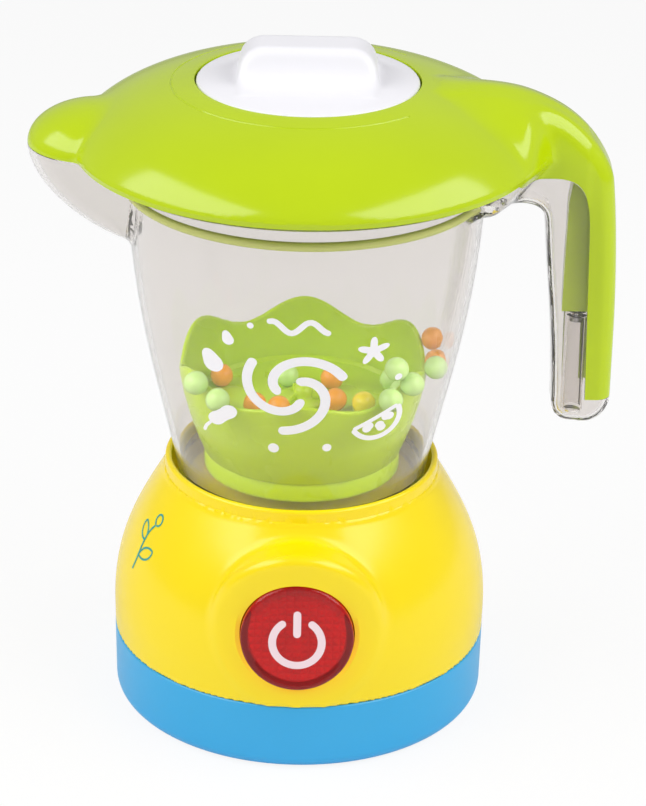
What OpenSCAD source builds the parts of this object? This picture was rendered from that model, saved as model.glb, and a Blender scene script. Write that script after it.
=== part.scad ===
// Toy blender: a sound-and-light base, a clear jug that lifts off it, a green lid that
// also covers the spout and the handle, a wavy inner bowl with loose balls, and a motor
// drive that turns the rotor in the bowl. Millimetres, +Z up, the floor at z = 0, the
// button to the front (-Y), the spout to the left (-X) and the handle to the right (+X).

/* [Base] */
// Widest radius of the base
base_r = 65.5; // [64:0.5:72]
// Height of the seam between the tray and the housing
tray_h = 25; // [23:0.5:30]
// Height of the collar's lip above the floor
base_h = 90; // [88:0.5:96]
// Outer radius of the collar's lip
collar_r = 47.6; // [46.5:0.1:50]
// Wall of the tray and the housing
wall = 2.2; // [1.8:0.1:2.8]
// Depth of the well that the jug stands in
well_depth = 12; // [11:0.5:13]
// Radius of the rounded bottom edge of the tray
tray_round = 5; // [3:0.5:6]

/* [Button] */
// Radius of the button
button_r = 19.1; // [17:0.1:20]
// Height of the button's centre
button_z = 52; // [50:0.5:54]
// How far the button's face leans back, in degrees
button_tilt = 5; // [0:1:8]
// Travel of the button
button_travel = 2.5; // [1.5:0.1:3]
// Radius of the round boss that carries the button
boss_r = 30; // [28:0.5:31]
// How far the button stands out of its boss at rest
button_proud = 1.4; // [0.8:0.1:2]

/* [Jug] */
// Radius of the jug at its rim
jug_r = 60.5; // [58:0.5:62]
// Radius of the jug at its foot
jug_foot_r = 42; // [40.5:0.1:43]
// Height of the jug from its foot to its rim
jug_h = 125; // [115:1:135]
// Wall of the clear mouldings
jug_wall = 1.8; // [1.4:0.1:2.4]
// Height of the jug's floor above its foot
foot_h = 8.2; // [8:0.1:10]
// Reach of the spout's tip from the axis
spout_reach = 93.3; // [88:0.5:98]
// Half width of the spout
spout_r = 23; // [19:0.5:25]
// Depth of the spout below the rim
spout_drop = 35; // [30:1:40]

/* [Handle] */
// Reach of the handle's outer face from the axis
handle_reach = 105.6; // [100:0.5:110]
// Depth of the grip, front to back along X
grip_depth = 21; // [18:0.5:23]
// Width of the handle
handle_w = 21; // [18:0.5:24]
// Height of the handle's lower end above the jug's foot
handle_bottom = 28.2; // [20:1:34]
// Height of the bridge's underside above the jug's foot
bridge_h = 109.3; // [102:0.5:110]
// Thickness of the green cover on the grip
cover_t = 9; // [7:0.5:10]

/* [Lid] */
// Radius of the lid's edge
lid_r = 78.6; // [76:0.2:82]
// Rise of the lid from its edge to the knob
lid_rise = 23; // [20:0.5:26]
// Height of the spout cover above the rim
spout_rise = 13.5; // [11:0.5:15]

/* [Knob] */
// Radius of the knob's flange
knob_r = 37.2; // [34:0.2:39]
// Length of the knob's grip
knob_grip_l = 45; // [40:1:50]
// Width of the knob's grip
knob_grip_w = 17; // [14:0.5:20]
// Height of the grip above the flange's edge
knob_grip_h = 13; // [10:0.5:15]
// Radius of the knob's spindle
spindle_r = 5; // [4:0.1:6]

/* [Bowl] */
// Radius of the bowl's foot
bowl_foot_r = 34; // [32:0.5:35]
// Radius of the bowl's rim
bowl_r = 43.6; // [42:0.1:44]
// Mean height of the bowl's rim above its foot
bowl_h = 39.8; // [36:0.2:42]
// Number of waves round the rim
waves = 6; // [4:1:8]
// Height of a wave from trough to crest
wave_h = 7.5; // [4:0.5:9]
// Height of the ball floor above the bowl's foot
ball_floor_h = 23; // [22:0.2:26]
// How much lower the crest at the front stands, as a share of a wave
front_dip = 0.58; // [0:0.02:0.6]
// Wall of the bowl
bowl_wall = 1.8; // [1.4:0.1:2.2]

/* [Balls and rotor] */
// Diameter of a ball
ball_d = 8; // [7:0.1:8.4]
// Radius of the rotor's disc
rotor_r = 9; // [8:0.1:9.4]
// Height of the rotor's vanes
vane_h = 2.4; // [1.6:0.1:3]
// Radius of the rotor's shaft
rotor_shaft_r = 2; // [1.5:0.1:2.5]

/* [Drive] */
// Gear module
gear_m = 0.8; // [0.7:0.05:0.85]
// Teeth of the motor pinion
pinion_teeth = 10; // [9:1:12]
// Teeth of the idler's large wheel
idler_teeth = 30; // [27:1:32]
// Teeth of the idler's small wheel
idler_small_teeth = 12; // [11:1:13]
// Teeth of the output gear
output_teeth = 36; // [33:1:38]
// Radius of the output shaft
shaft_r = 2.5; // [2:0.1:3]
// Radius of the motor's can
motor_r = 10.2; // [9:0.1:11]
// Length of the motor's can
motor_l = 25; // [20:1:27]

/* [Battery and sound] */
// Diameter of a cell
cell_d = 14.2; // [13.5:0.1:14.5]
// Length of a cell with its nub
cell_l = 50.5; // [44:0.5:51]
// Number of cells
cells = 3; // [2:1:3]
// Radius of the loudspeaker
speaker_r = 15; // [13:0.5:16]

/* [Fits] */
// Radial clearance of a shaft that turns
run_clr = 0.05; // [0.03:0.01:0.08]
// Gap between pieces that slide or lift past each other
gap = 0.3; // [0.2:0.05:0.4]
// Gap between pieces that seat on each other
seat = 0.1; // [0.05:0.05:0.2]
// Radius of a housing screw
screw_r = 1.3; // [1.1:0.1:1.5]

/* [Hidden] */
$fn = 64;
fine = 96;
eps = 0.01;

// Colours as they look on the toy
yellow = "#ffe500";
blue = "#35a8df";
lime = "#b4d30c";
pale_green = "#c0e482";
orange = "#f7941d";
red = "#c8141c";
clear = [0.92, 0.95, 0.95, 0.35];
white = "#f3f2f7";
steel = "#b9bcc0";
brass = "#c9a24a";
board_green = "#2f7d46";
black = "#2b2b2d";

// Heights, from the floor up
floor_recess = 0.8;
floor_t = 2.4;
floor_z = floor_recess + floor_t;
well_z = base_h - well_depth;
well_floor_t = 2.4;
well_under_z = well_z - well_floor_t;
jug_z = well_z + gap;
jug_floor_z = jug_z + foot_h;
rim_z = jug_z + jug_h;
bowl_floor_z = jug_floor_z + ball_floor_h;
bowl_rim_z = jug_floor_z + bowl_h;
lid_edge_z = rim_z + seat;
knob_edge_z = lid_edge_z + lid_rise;
ball_r = ball_d / 2;

// A cubic curve from p0 to p3 as n + 1 points
function bez(p0, p1, p2, p3, t) =
    pow(1 - t, 3) * p0 + 3 * t * pow(1 - t, 2) * p1 + 3 * t * t * (1 - t) * p2 + pow(t, 3) * p3;
function curve(p0, p1, p2, p3, n) = [for (i = [0:n]) bez(p0, p1, p2, p3, i / n)];
// An arc about c with radius r from angle a to angle b as n + 1 points
function arc(c, r, a, b, n) =
    [for (i = [0:n]) c + r * [cos(a + (b - a) * i / n), sin(a + (b - a) * i / n)]];

// A closed loft through rings of points, each ring with the same number of points
module loft(rings) {
    n = len(rings[0]);
    m = len(rings);
    polyhedron(
        points = [for (r = rings) for (p = r) p],
        faces = concat(
            [[for (j = [0:n - 1]) j]],
            [for (i = [0:m - 2]) for (j = [0:n - 1]) each [
                [i * n + j, (i + 1) * n + j, (i + 1) * n + (j + 1) % n],
                [i * n + j, (i + 1) * n + (j + 1) % n, i * n + (j + 1) % n]]],
            [[for (j = [n - 1:-1:0]) (m - 1) * n + j]]),
        convexity = 6);
}

// ---------------------------------------------------------------- screws
module screw(length, head_r = 2.6, head_h = 1.8, r = screw_r) {
    // The head sits below z = 0 and the shank stands above it
    color(steel) {
        difference() {
            translate([0, 0, -head_h]) cylinder(r = head_r, h = head_h);
            for (a = [0, 90]) rotate(a) translate([-head_r * 0.6, -0.3, -head_h - eps])
                cube([head_r * 1.2, 0.6, head_h * 0.5]);
        }
        cylinder(r = r, h = length - r);
        translate([0, 0, length - r]) cylinder(r1 = r, r2 = r * 0.3, h = r);
    }
}

// ---------------------------------------------------------------- base: places
post_r = 4;
post_ring_r = base_r - 12.5;
post_angles = [40, 140, 220, 320];
module at_posts() for (a = post_angles) rotate(a) translate([post_ring_r, 0, 0]) children();
post_head_z = 7;
post_top_z = tray_h - 3;

bay_x = cell_l + 6.6;
bay_y = cells * (cell_d + 0.8) + 1;
bay_h = cell_d + 1.4;
bay_c = [0, bay_y / 2 - 11.4];
bay_wall = 1.6;
door_t = 2;
door_z = floor_recess + 0.2;
door_tab = 10;
speaker_c = [0, -speaker_r - 15.5];
// The switch stands beside the battery bay and behind a screw post, the board in front of the bay
slider_travel = 4;
switch_size = [8, 15, 6];
slider_c = [bay_x / 2 + bay_wall + switch_size[0] / 2 + 0.45,
            -post_ring_r * sin(post_angles[0]) + post_r + switch_size[1] / 2 + 1.5];
board_size = [22, 11, 1.6];
board_c = [-30.5, bay_c[1] - bay_y / 2 - bay_wall - 1.5 - board_size[1] / 2];
board_z = floor_z + 4.8;

// The rim where the jug stands, and the outline of the housing
collar_in = collar_r - wall;
neck_z = base_h - 5.5;
housing_top = curve([base_r, tray_h + 9], [base_r, tray_h + 31],
                    [collar_r + 10.6, base_h - 22], [collar_r + 0.8, neck_z], 12);
lip_r = wall / 2;
function housing_outline(in) = concat(
    [[0, tray_h - in], [base_r - 0.2 - in, tray_h - in]],
    [for (p = housing_top) p - [in, in * 0.75]]);

module tray_outline(in, z0) {
    r_out = base_r - 0.4 - in;
    round = max(tray_round - in, 0.5);
    polygon(concat([[0, z0]], arc([r_out - round, z0 + round], round, -90, 0, 8),
                   [[base_r - 0.2 - in, tray_h + (in > 0 ? 1 : 0)], [0, tray_h + (in > 0 ? 1 : 0)]]));
}

module base_tray() color(blue) {
    difference() {
        union() {
            difference() {
                rotate_extrude($fn = fine) tray_outline(0, 0);
                rotate_extrude($fn = fine) tray_outline(wall, floor_z);
            }
            // Tongue that centres the housing
            translate([0, 0, tray_h - 6]) rotate_extrude($fn = fine)
                translate([base_r - 2 * wall - gap - 0.2, 0]) square([wall, 8.5]);
            translate([0, 0, tray_h - 6]) rotate_extrude($fn = fine)
                translate([base_r - wall - gap - 0.3, 0]) square([1.2, 5]);
            // Battery bay, screw posts, loudspeaker ring, switch rests and board posts
            translate([bay_c[0] - bay_x / 2 - bay_wall, bay_c[1] - bay_y / 2 - bay_wall, floor_z - eps])
                cube([bay_x + 2 * bay_wall, bay_y + 2 * bay_wall, bay_h + bay_wall]);
            translate([bay_c[0] + bay_x / 2 + bay_wall + door_tab / 2, bay_c[1], floor_z - eps])
                cylinder(r = 4.2, h = 8);
            intersection() {
                at_posts() translate([0, 0, floor_z - eps]) cylinder(r = post_r, h = post_top_z - floor_z);
                cylinder(r = base_r - 1.5 * wall, h = tray_h);
            }
            translate([speaker_c[0], speaker_c[1], floor_z - eps]) difference() {
                cylinder(r = speaker_r + 1.8, h = 4);
                translate([0, 0, -1]) cylinder(r = speaker_r + seat, h = 6);
            }
            for (s = [-1, 1]) translate([slider_c[0] - switch_size[0] / 2,
                                         slider_c[1] + s * (switch_size[1] / 2 - 1) - 1, floor_z - eps])
                cube([switch_size[0], 2, 2 + eps]);
            for (s = [-1, 1]) translate([board_c[0] + s * 8, board_c[1], floor_z - eps])
                cylinder(r = 2.4, h = board_z - floor_z + eps);
        }
        // Shallow recess inside the foot ring
        translate([0, 0, -1]) cylinder(r = base_r - tray_round - 4.4, h = 1 + floor_recess, $fn = fine);
        // Battery bay and its opening
        translate([bay_c[0] - bay_x / 2, bay_c[1] - bay_y / 2, floor_z - 2 * eps])
            cube([bay_x, bay_y, bay_h]);
        translate([bay_c[0] - bay_x / 2 + 2.4, bay_c[1] - bay_y / 2 - eps, 0])
            cube([bay_x - 2.4, bay_y + 2 * eps, floor_z + 1]);
        translate([bay_c[0] + bay_x / 2 - 1, bay_c[1] - 7, 0])
            cube([door_tab + 2.4, 14, door_z + door_t]);
        translate([bay_c[0] + bay_x / 2 + bay_wall + door_tab / 2, bay_c[1], 0])
            cylinder(r = screw_r + 0.02, h = floor_z + 7);
        at_posts() {
            cylinder(r = screw_r + 0.2, h = tray_h);
            translate([0, 0, -1]) cylinder(r = 2.9, h = post_head_z + 1);
        }
        // Loudspeaker grille
        translate([speaker_c[0], speaker_c[1], 0]) {
            cylinder(r = 1.2, h = floor_z + 1, $fn = 24);
            for (ring = [[4.5, 6], [9, 12]]) for (i = [0:ring[1] - 1])
                rotate(i * 360 / ring[1]) translate([ring[0], 0, 0])
                    cylinder(r = 1.2, h = floor_z + 1, $fn = 24);
        }
        // Slot of the power slider, with the finger recess round it
        translate([slider_c[0] - 2.5, slider_c[1] - slider_travel / 2 - 2.8, 0])
            cube([5, slider_travel + 5.6, floor_z + 1]);
        translate([slider_c[0] - 5, slider_c[1] - slider_travel / 2 - 5, 0])
            cube([10, slider_travel + 10, floor_recess + 1.2]);
        for (s = [-1, 1]) translate([board_c[0] + s * 8, board_c[1], floor_z + 1])
            cylinder(r = 0.92, h = board_z);
    }
}

// ---------------------------------------------------------------- base: the housing
// The button's own frame: its Z axis points out of the base, along the button's travel
module at_button() translate([0, -base_r - 0.1, button_z]) rotate([90 - button_tilt, 0, 0]) children();
boss_round = 3;
boss_depth = 22;
sleeve_l = 6.4;
sleeve_r = button_r + gap + 1.6;
button_board_d = 17;
button_board_size = [50, 21, 1.6];

module boss_outline(in) {
    polygon(concat([[0, -boss_depth]], [[boss_r - in, -boss_depth]],
                   arc([boss_r - boss_round, -boss_round], boss_round - in * 0.5, 0, 90, 6),
                   [[0, -in]]));
}
module boss(in) intersection() {
    at_button() rotate_extrude($fn = fine) boss_outline(in);
    translate([0, 0, tray_h]) cylinder(r = base_r - in, h = base_h - tray_h, $fn = fine);
}

gear_post_xy = [[-15, -15], [27, -12], [-15, 33], [28, 32]];

module base_housing() color(yellow) {
    difference() {
        union() {
            difference() {
                union() {
                    rotate_extrude($fn = fine) polygon(concat(
                        housing_outline(0), arc([collar_r - lip_r, base_h - lip_r], lip_r, 0, 180, 8),
                        [[collar_in, well_z - 1], [0, well_z - 1]]));
                    boss(0);
                }
                difference() {
                    union() {
                        rotate_extrude($fn = fine) polygon(concat(
                            housing_outline(wall), [[0, neck_z - wall * 0.75]]));
                        boss(wall);
                    }
                    translate([0, 0, well_under_z]) cylinder(r = collar_in + wall, h = base_h, $fn = fine);
                }
                translate([0, 0, tray_h - wall - 1]) cylinder(r = base_r - wall, h = wall + 2, $fn = fine);
            }
            // Well floor
            translate([0, 0, well_under_z]) cylinder(r = collar_in + wall / 2, h = well_floor_t, $fn = fine);
            intersection() {
                union() {
                    // Guide sleeve of the button and posts of its board
                    at_button() {
                        translate([0, 0, -sleeve_l]) cylinder(r = sleeve_r, h = sleeve_l - 1, $fn = fine);
                        for (s = [-1, 1]) translate([s * 23, 0, -button_board_d])
                            cylinder(r = 2.2, h = button_board_d - 1);
                    }
                    // Screw posts that reach down to the tray
                    at_posts() translate([0, 0, post_top_z + seat]) cylinder(r = post_r, h = base_h);
                }
                union() {
                    rotate_extrude($fn = fine) polygon(concat(
                        [[0, tray_h - 6], [base_r - 2 * wall - gap - 0.5, tray_h - 6]],
                        [for (p = housing_outline(wall / 2)) if (p[0] > 0 && p[1] > tray_h + 4) p],
                        [[0, neck_z - 1]]));
                    boss(wall / 2);
                }
            }
        }
        // The jug's well, down to its floor
        translate([0, 0, well_z]) cylinder(r = collar_in - 0.6, h = 1, $fn = fine);
        translate([0, 0, well_z]) cylinder(r1 = collar_in - 0.6, r2 = collar_in, h = well_depth - lip_r,
                                           $fn = fine);
        // Bore for the output shaft, button bore, screw pilots
        cylinder(r = shaft_r + 1, h = base_h);
        at_button() translate([0, 0, -boss_depth]) difference() {
            cylinder(r = button_r + gap, h = boss_depth + 10, $fn = fine);
            translate([0, 0, -1]) cylinder(r = button_r + 2, h = 1);
        }
        at_button() for (s = [-1, 1]) translate([s * 23, 0, -button_board_d - eps])
            cylinder(r = 0.92, h = 7);
        at_posts() translate([0, 0, post_top_z - 1]) cylinder(r = screw_r + 0.02, h = 14);
        for (p = gear_post_xy) translate([p[0], p[1], well_under_z - 1])
            cylinder(r = screw_r + 0.02, h = 2.8);
    }
}

module housing_screws() at_posts() translate([0, 0, post_head_z]) screw(length = post_top_z + 6);

// ---------------------------------------------------------------- base: battery bay
module battery_door() color(blue) {
    x0 = bay_c[0] - bay_x / 2 + 2.4 + gap;
    y0 = bay_c[1] - bay_y / 2 + gap;
    difference() {
        union() {
            translate([x0, y0, door_z]) cube([bay_x - 2.4 - 2 * gap, bay_y - 2 * gap, door_t]);
            translate([bay_c[0] + bay_x / 2 - 1, bay_c[1] - 7 + gap, door_z])
                cube([door_tab + 2.4 - gap, 14 - 2 * gap, door_t]);
            // Tabs that hook over the edge of the opening
            for (i = [0:cells - 2]) translate([x0, bay_c[1] + (i - (cells - 2) / 2) * (cell_d + 0.8) - 2.5, 0]) {
                translate([-2.2, 0, floor_z + seat]) cube([4, 5, 1]);
                translate([0, 0, door_z]) cube([1.8, 5, floor_z + seat + 1 - door_z]);
            }
        }
        translate([bay_c[0] + bay_x / 2 + bay_wall + door_tab / 2, bay_c[1], 0])
            cylinder(r = screw_r + 0.2, h = 10);
        // Grip lines
        for (i = [0:4]) translate([bay_c[0] - 10 + i * 5, bay_c[1] - 9, door_z - eps])
            cube([1.4, 18, 0.5]);
    }
}

module door_screw() translate([bay_c[0] + bay_x / 2 + bay_wall + door_tab / 2, bay_c[1], door_z])
    screw(length = 8, head_r = 2.4, head_h = 0.9);

cell_z = floor_z + 0.2 + cell_d / 2;
module at_cells() for (i = [0:cells - 1])
    translate([bay_c[0], bay_c[1] + (i - (cells - 1) / 2) * (cell_d + 0.8), cell_z])
        rotate([0, i % 2 == 0 ? 90 : -90, 0]) children();

module battery_cells() at_cells() {
    color(black) translate([0, 0, -cell_l / 2]) cylinder(r = cell_d / 2, h = cell_l - 1.3);
    color(steel) translate([0, 0, cell_l / 2 - 1.3 - eps]) cylinder(r = 2.7, h = 1.3 + eps);
}

module battery_contacts() color(steel) at_cells() for (s = [-1, 1]) {
    // A flat strip against the bay's end, pressed out to a spring dome that meets the cell
    dome_h = bay_x / 2 - cell_l / 2 - 0.55;
    translate([-5, -5, s > 0 ? bay_x / 2 - 0.5 : -bay_x / 2]) cube([10, 10, 0.5]);
    translate([0, 0, s * (bay_x / 2 - 0.5)]) mirror([0, 0, s > 0 ? 1 : 0])
        cylinder(r1 = 3.6, r2 = 2, h = dome_h);
}

// ---------------------------------------------------------------- base: sound and switches
module speaker() translate([speaker_c[0], speaker_c[1], floor_z]) {
    color(black) difference() {
        union() {
            cylinder(r = speaker_r, h = 1.6);
            translate([0, 0, 1.6]) cylinder(r1 = speaker_r - 1.5, r2 = 9.5, h = 3.4);
        }
        translate([0, 0, -eps]) cylinder(r1 = speaker_r - 2.5, r2 = 4, h = 3);
    }
    color(steel) translate([0, 0, 5 - eps]) cylinder(r = 8.5, h = 4);
}

module sound_board() translate([board_c[0], board_c[1], board_z]) {
    color(board_green) difference() {
        translate([-board_size[0] / 2, -board_size[1] / 2, 0]) cube(board_size);
        for (s = [-1, 1]) translate([s * 8, 0, -1]) cylinder(r = 1.1, h = 4);
    }
    color(black) translate([0, 0, board_size[2] - eps]) cylinder(r1 = 4, r2 = 2.5, h = 1.4);
}

module board_screws() for (s = [-1, 1])
    translate([board_c[0] + s * 8, board_c[1], board_z + board_size[2]]) rotate([180, 0, 0])
        screw(length = 5, head_r = 1.8, head_h = 1.1, r = 0.9);

switch_z = floor_z + 2;
module power_switch() color(black) difference() {
    translate([slider_c[0] - switch_size[0] / 2, slider_c[1] - switch_size[1] / 2, switch_z])
        cube(switch_size);
    // Pocket that the slider's top pin runs in
    translate([slider_c[0] - 1.4, slider_c[1] - slider_travel / 2 - 1.6, switch_z - 1])
        cube([2.8, slider_travel + 3.2, 3.2]);
}

module power_slider() color(black) translate([slider_c[0], slider_c[1] - slider_travel / 2, 0]) {
    // Finger nub with three ridges, neck through the floor, plate above it and pin
    difference() {
        translate([-3.5, -2.6, door_z]) cube([7, 5.2, 0.8]);
        for (i = [-1:1]) translate([-3.6, i * 1.6 - 0.3, door_z - eps]) cube([7.2, 0.6, 0.35]);
    }
    translate([-2.1, -2.4, door_z + 0.8 - eps]) cube([4.2, 4.8, floor_z + seat - door_z - 0.8 + 2 * eps]);
    translate([-3.4, -2.4, floor_z + seat]) cube([6.8, 4.8, 1.2]);
    translate([-1, -1.2, floor_z + seat + 1.2 - eps]) cube([2, 2.4, 2]);
}

// ---------------------------------------------------------------- base: the button
cap_l = 8;
cap_wall = 1.8;
flange_t = 1.4;
stem_r = 3;
plunger_r = 1.9;
plunger_tip = 10;
switch_front = plunger_tip + button_travel + seat;
lamp_x = 13.2;
spring_r = 9;
spring_wire = 0.8;

module button_cap() color(red) at_button() {
    difference() {
        rotate_extrude($fn = fine) polygon(concat(
            [[0, -cap_l], [button_r + 1.4, -cap_l], [button_r + 1.4, -sleeve_l - seat],
             [button_r, -sleeve_l - seat]],
            arc([button_r - 1.6, button_proud - 1.6], 1.6, 0, 90, 6),
            [[button_r - 3.2, button_proud], [button_r - 4, button_proud - 0.6],
             [0, button_proud - 0.6]]));
        translate([0, 0, -cap_l - 1])
            cylinder(r = button_r - cap_wall, h = cap_l + 1 + button_proud - 0.6 - cap_wall, $fn = fine);
    }
    translate([0, 0, -plunger_tip]) cylinder(r = stem_r, h = plunger_tip + button_proud - 0.6 - cap_wall + eps);
}

module button_board() color(board_green) at_button() difference() {
    translate([-button_board_size[0] / 2, -button_board_size[1] / 2, -button_board_d - button_board_size[2]])
        cube(button_board_size);
    for (s = [-1, 1]) translate([s * 23, 0, -button_board_d - 3]) cylinder(r = 1.1, h = 6);
}

module button_board_screws() at_button() for (s = [-1, 1])
    translate([s * 23, 0, -button_board_d - button_board_size[2]])
        screw(length = 6.5, head_r = 1.8, head_h = 1.1, r = 0.9);

module button_lamps() color("#f4f0e6") at_button() for (s = [-1, 1])
    translate([s * lamp_x, 0, -button_board_d]) {
        cylinder(r = 2.8, h = 1);
        cylinder(r = 2.4, h = 5);
        translate([0, 0, 5]) sphere(r = 2.4, $fn = 24);
    }

module push_switch() color(black) at_button() difference() {
    translate([-5, -5, -button_board_d]) cube([10, 10, button_board_d - switch_front]);
    translate([0, 0, -button_board_d + 0.2]) cylinder(r = plunger_r + run_clr, h = button_board_d);
}

module switch_plunger() color(white) at_button()
    translate([0, 0, -button_board_d + 0.3 + button_travel])
        cylinder(r = plunger_r, h = button_board_d - 0.3 - button_travel - plunger_tip - seat);

spring_turns = 5;
module button_spring() color(steel) at_button() {
    // A helix from the board to the cap's inner face, with its end turns cut short of both
    z0 = -button_board_d + spring_wire / 2 + 0.05;
    z1 = button_proud - 0.6 - cap_wall - spring_wire / 2 - 0.05;
    steps = spring_turns * 12;
    loft([for (i = [0:steps]) let (a = i * 30, z = z0 + (z1 - z0) * i / steps)
        [for (k = [0:5]) let (b = k * 60)
            [(spring_r + spring_wire / 2 * cos(b)) * cos(a), (spring_r + spring_wire / 2 * cos(b)) * sin(a),
             z - spring_wire / 2 * sin(b)]]]);
}

// ---------------------------------------------------------------- base: the drive
idler_d = gear_m * (idler_small_teeth + output_teeth) / 2;
motor_d = gear_m * (pinion_teeth + idler_teeth) / 2;
idler_at = [0, idler_d, 0];
motor_at = [motor_d, idler_d, 0];
plate_t = 2;
gear_cover_z = well_under_z - plate_t;
plate_z = gear_cover_z - 17.6;
idler_big_z = plate_z + plate_t + 3.4;
wheel_t = 3;
idler_small_z = idler_big_z + wheel_t;
output_z = idler_small_z + 1.6;
output_t = 4.4;
pin_r = 1.5;
shaft_top_z = well_z + 4.2;

// One involute flank point at roll angle t on a base circle rb
function involute(rb, t) = let (d = t * 180 / PI) rb * [cos(d) + t * sin(d), sin(d) - t * cos(d)];
function gear_points(n, m, backlash = 0.16) = let (
    rp = m * n / 2, rb = rp * cos(20), ro = rp + m * 0.95, rr = rp - 1.2 * m,
    t_out = sqrt(pow(ro / rb, 2) - 1), t_in = rr > rb ? sqrt(pow(rr / rb, 2) - 1) : 0,
    tp = sqrt(pow(rp / rb, 2) - 1),
    pitch = involute(rb, tp),
    half = 90 / n - backlash / rp * 90 / PI + atan2(pitch[1], pitch[0]),
    flank = [for (i = [0:4]) let (p = involute(rb, t_in + (t_out - t_in) * i / 4))
        [norm(p), half - atan2(p[1], p[0])]],
    side = concat([[rr, flank[0][1] + 0.5]], flank))
    [for (k = [0:n - 1]) let (c = k * 360 / n) each concat(
        [for (i = [0:len(side) - 1]) let (s = side[i]) s[0] * [cos(c - s[1]), sin(c - s[1])]],
        [for (i = [len(side) - 1:-1:0]) let (s = side[i]) s[0] * [cos(c + s[1]), sin(c + s[1])]])];
module gear(n, h, bore) linear_extrude(h) difference() {
    polygon(gear_points(n, gear_m));
    circle(r = bore);
}

module plate_outline() difference() {
    union() {
        translate([-18, -18]) square([48, 54]);
        translate([-21, -15]) square([54, 48]);
        for (x = [-18, 30]) for (y = [-15, 33]) translate([x, y]) circle(r = 3);
    }
    circle(r = shaft_r + run_clr);
    translate([idler_at[0], idler_at[1]]) circle(r = pin_r + 0.02);
}

module gearbox_plate() color(white) {
    difference() {
        union() {
            translate([0, 0, plate_z]) linear_extrude(plate_t) plate_outline();
            for (p = gear_post_xy) translate([p[0], p[1], plate_z])
                cylinder(r = 2.8, h = gear_cover_z - plate_z);
        }
        for (p = gear_post_xy) translate([p[0], p[1], plate_z - 1]) cylinder(r = screw_r + 0.2, h = 30);
        translate([motor_at[0], motor_at[1], plate_z - 1]) {
            cylinder(r = 3.1, h = 8);
            for (s = [-1, 1]) translate([0, s * 6.2, 0]) cylinder(r = 1.1, h = 8);
        }
    }
}

module gearbox_cover() color(white) difference() {
    translate([0, 0, gear_cover_z]) linear_extrude(plate_t) plate_outline();
    for (p = gear_post_xy) translate([p[0], p[1], gear_cover_z - 1]) cylinder(r = screw_r + 0.2, h = 8);
}

module gearbox_screws() for (p = gear_post_xy)
    translate([p[0], p[1], plate_z]) screw(length = well_under_z - plate_z + 1.6);

module motor() translate([motor_at[0], motor_at[1], plate_z - motor_l]) {
    color(steel) difference() {
        union() {
            intersection() {
                cylinder(r = motor_r, h = motor_l);
                translate([-motor_r, -motor_r * 0.75, 0]) cube([2 * motor_r, motor_r * 1.5, motor_l]);
            }
            translate([0, 0, motor_l - eps]) cylinder(r = 3, h = 1.6);
        }
        translate([0, 0, motor_l - 8]) cylinder(r = 1 + run_clr, h = 12);
        for (s = [-1, 1]) translate([0, s * 6.2, motor_l - 4]) cylinder(r = 1.02, h = 6);
    }
    color(black) translate([0, 0, -2 + eps]) cylinder(r = motor_r * 0.74, h = 2);
}

module motor_screws() for (s = [-1, 1])
    translate([motor_at[0], motor_at[1] + s * 6.2, plate_z + plate_t]) rotate([180, 0, 0])
        screw(length = 5, head_r = 1.9, head_h = 1.2, r = 1);

module motor_pinion() translate([motor_at[0], motor_at[1], 0]) {
    color(white) translate([0, 0, idler_big_z - 1]) rotate(180 / pinion_teeth * (pinion_teeth % 2 == 0 ? 1 : 0))
        gear(pinion_teeth, wheel_t + 1.6, 0.98);
    color(steel) translate([0, 0, plate_z - 7]) cylinder(r = 1, h = idler_big_z + wheel_t + 1.4 - plate_z + 7);
}

module idler_pin() color(steel) translate([idler_at[0], idler_at[1], plate_z])
    cylinder(r = pin_r, h = well_under_z - plate_z);

// Each wheel is turned so that a tooth of one stands in a gap of the next
idler_turn = 0;
output_turn = 90 + 180 / output_teeth;
small_turn = -90;
module idler_gear() color(white) translate([idler_at[0], idler_at[1], 0]) {
    translate([0, 0, idler_big_z]) rotate(idler_turn) gear(idler_teeth, wheel_t, pin_r + run_clr);
    translate([0, 0, idler_small_z - eps]) rotate(small_turn)
        gear(idler_small_teeth, output_t + 2.4, pin_r + run_clr);
    difference() {
        translate([0, 0, plate_z + plate_t + seat]) cylinder(r = 3, h = gear_cover_z - plate_z - plate_t - 2 * seat);
        translate([0, 0, plate_z]) cylinder(r = pin_r + run_clr, h = 30);
    }
}

module output_gear() color(white) {
    translate([0, 0, output_z]) rotate(output_turn) gear(output_teeth, output_t, shaft_r + 0.02);
    difference() {
        translate([0, 0, plate_z + plate_t + seat]) cylinder(r = 4.5, h = gear_cover_z - plate_z - plate_t - 2 * seat);
        cylinder(r = shaft_r + 0.02, h = base_h);
    }
}

module drive_shaft() color(steel) translate([0, 0, plate_z]) cylinder(r = shaft_r, h = shaft_top_z - plate_z);

dog_r = 8.5;
dog_h = 2;
disc_t = 2;
dog_span = 36;
module dogs(turn) for (i = [0:2]) rotate(i * 120 + turn - dog_span / 2)
    rotate_extrude(angle = dog_span, $fn = fine) translate([4.6, 0]) square([dog_r - 4.9, dog_h]);

module drive_coupling() color(white) translate([0, 0, well_z + seat]) difference() {
    union() {
        cylinder(r = dog_r, h = disc_t);
        translate([0, 0, disc_t - eps]) dogs(0);
    }
    translate([0, 0, -1]) cylinder(r = shaft_r + 0.02, h = 8);
}

// ---------------------------------------------------------------- jug: the clear shell
// Outline of the jug's wall from its foot to its rim
function jug_curve(in) = curve([jug_foot_r - in, jug_z], [jug_foot_r + 5 - in, jug_z + jug_h * 0.27],
    [jug_r - in, jug_z + jug_h * 0.52], [jug_r - in, rim_z], 14);
// Radius of the jug's wall at height z, read along the same curve
function jug_r_at(z, in = 0) = lookup(z, [for (p = jug_curve(in)) [p[1], p[0]]]);

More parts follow.
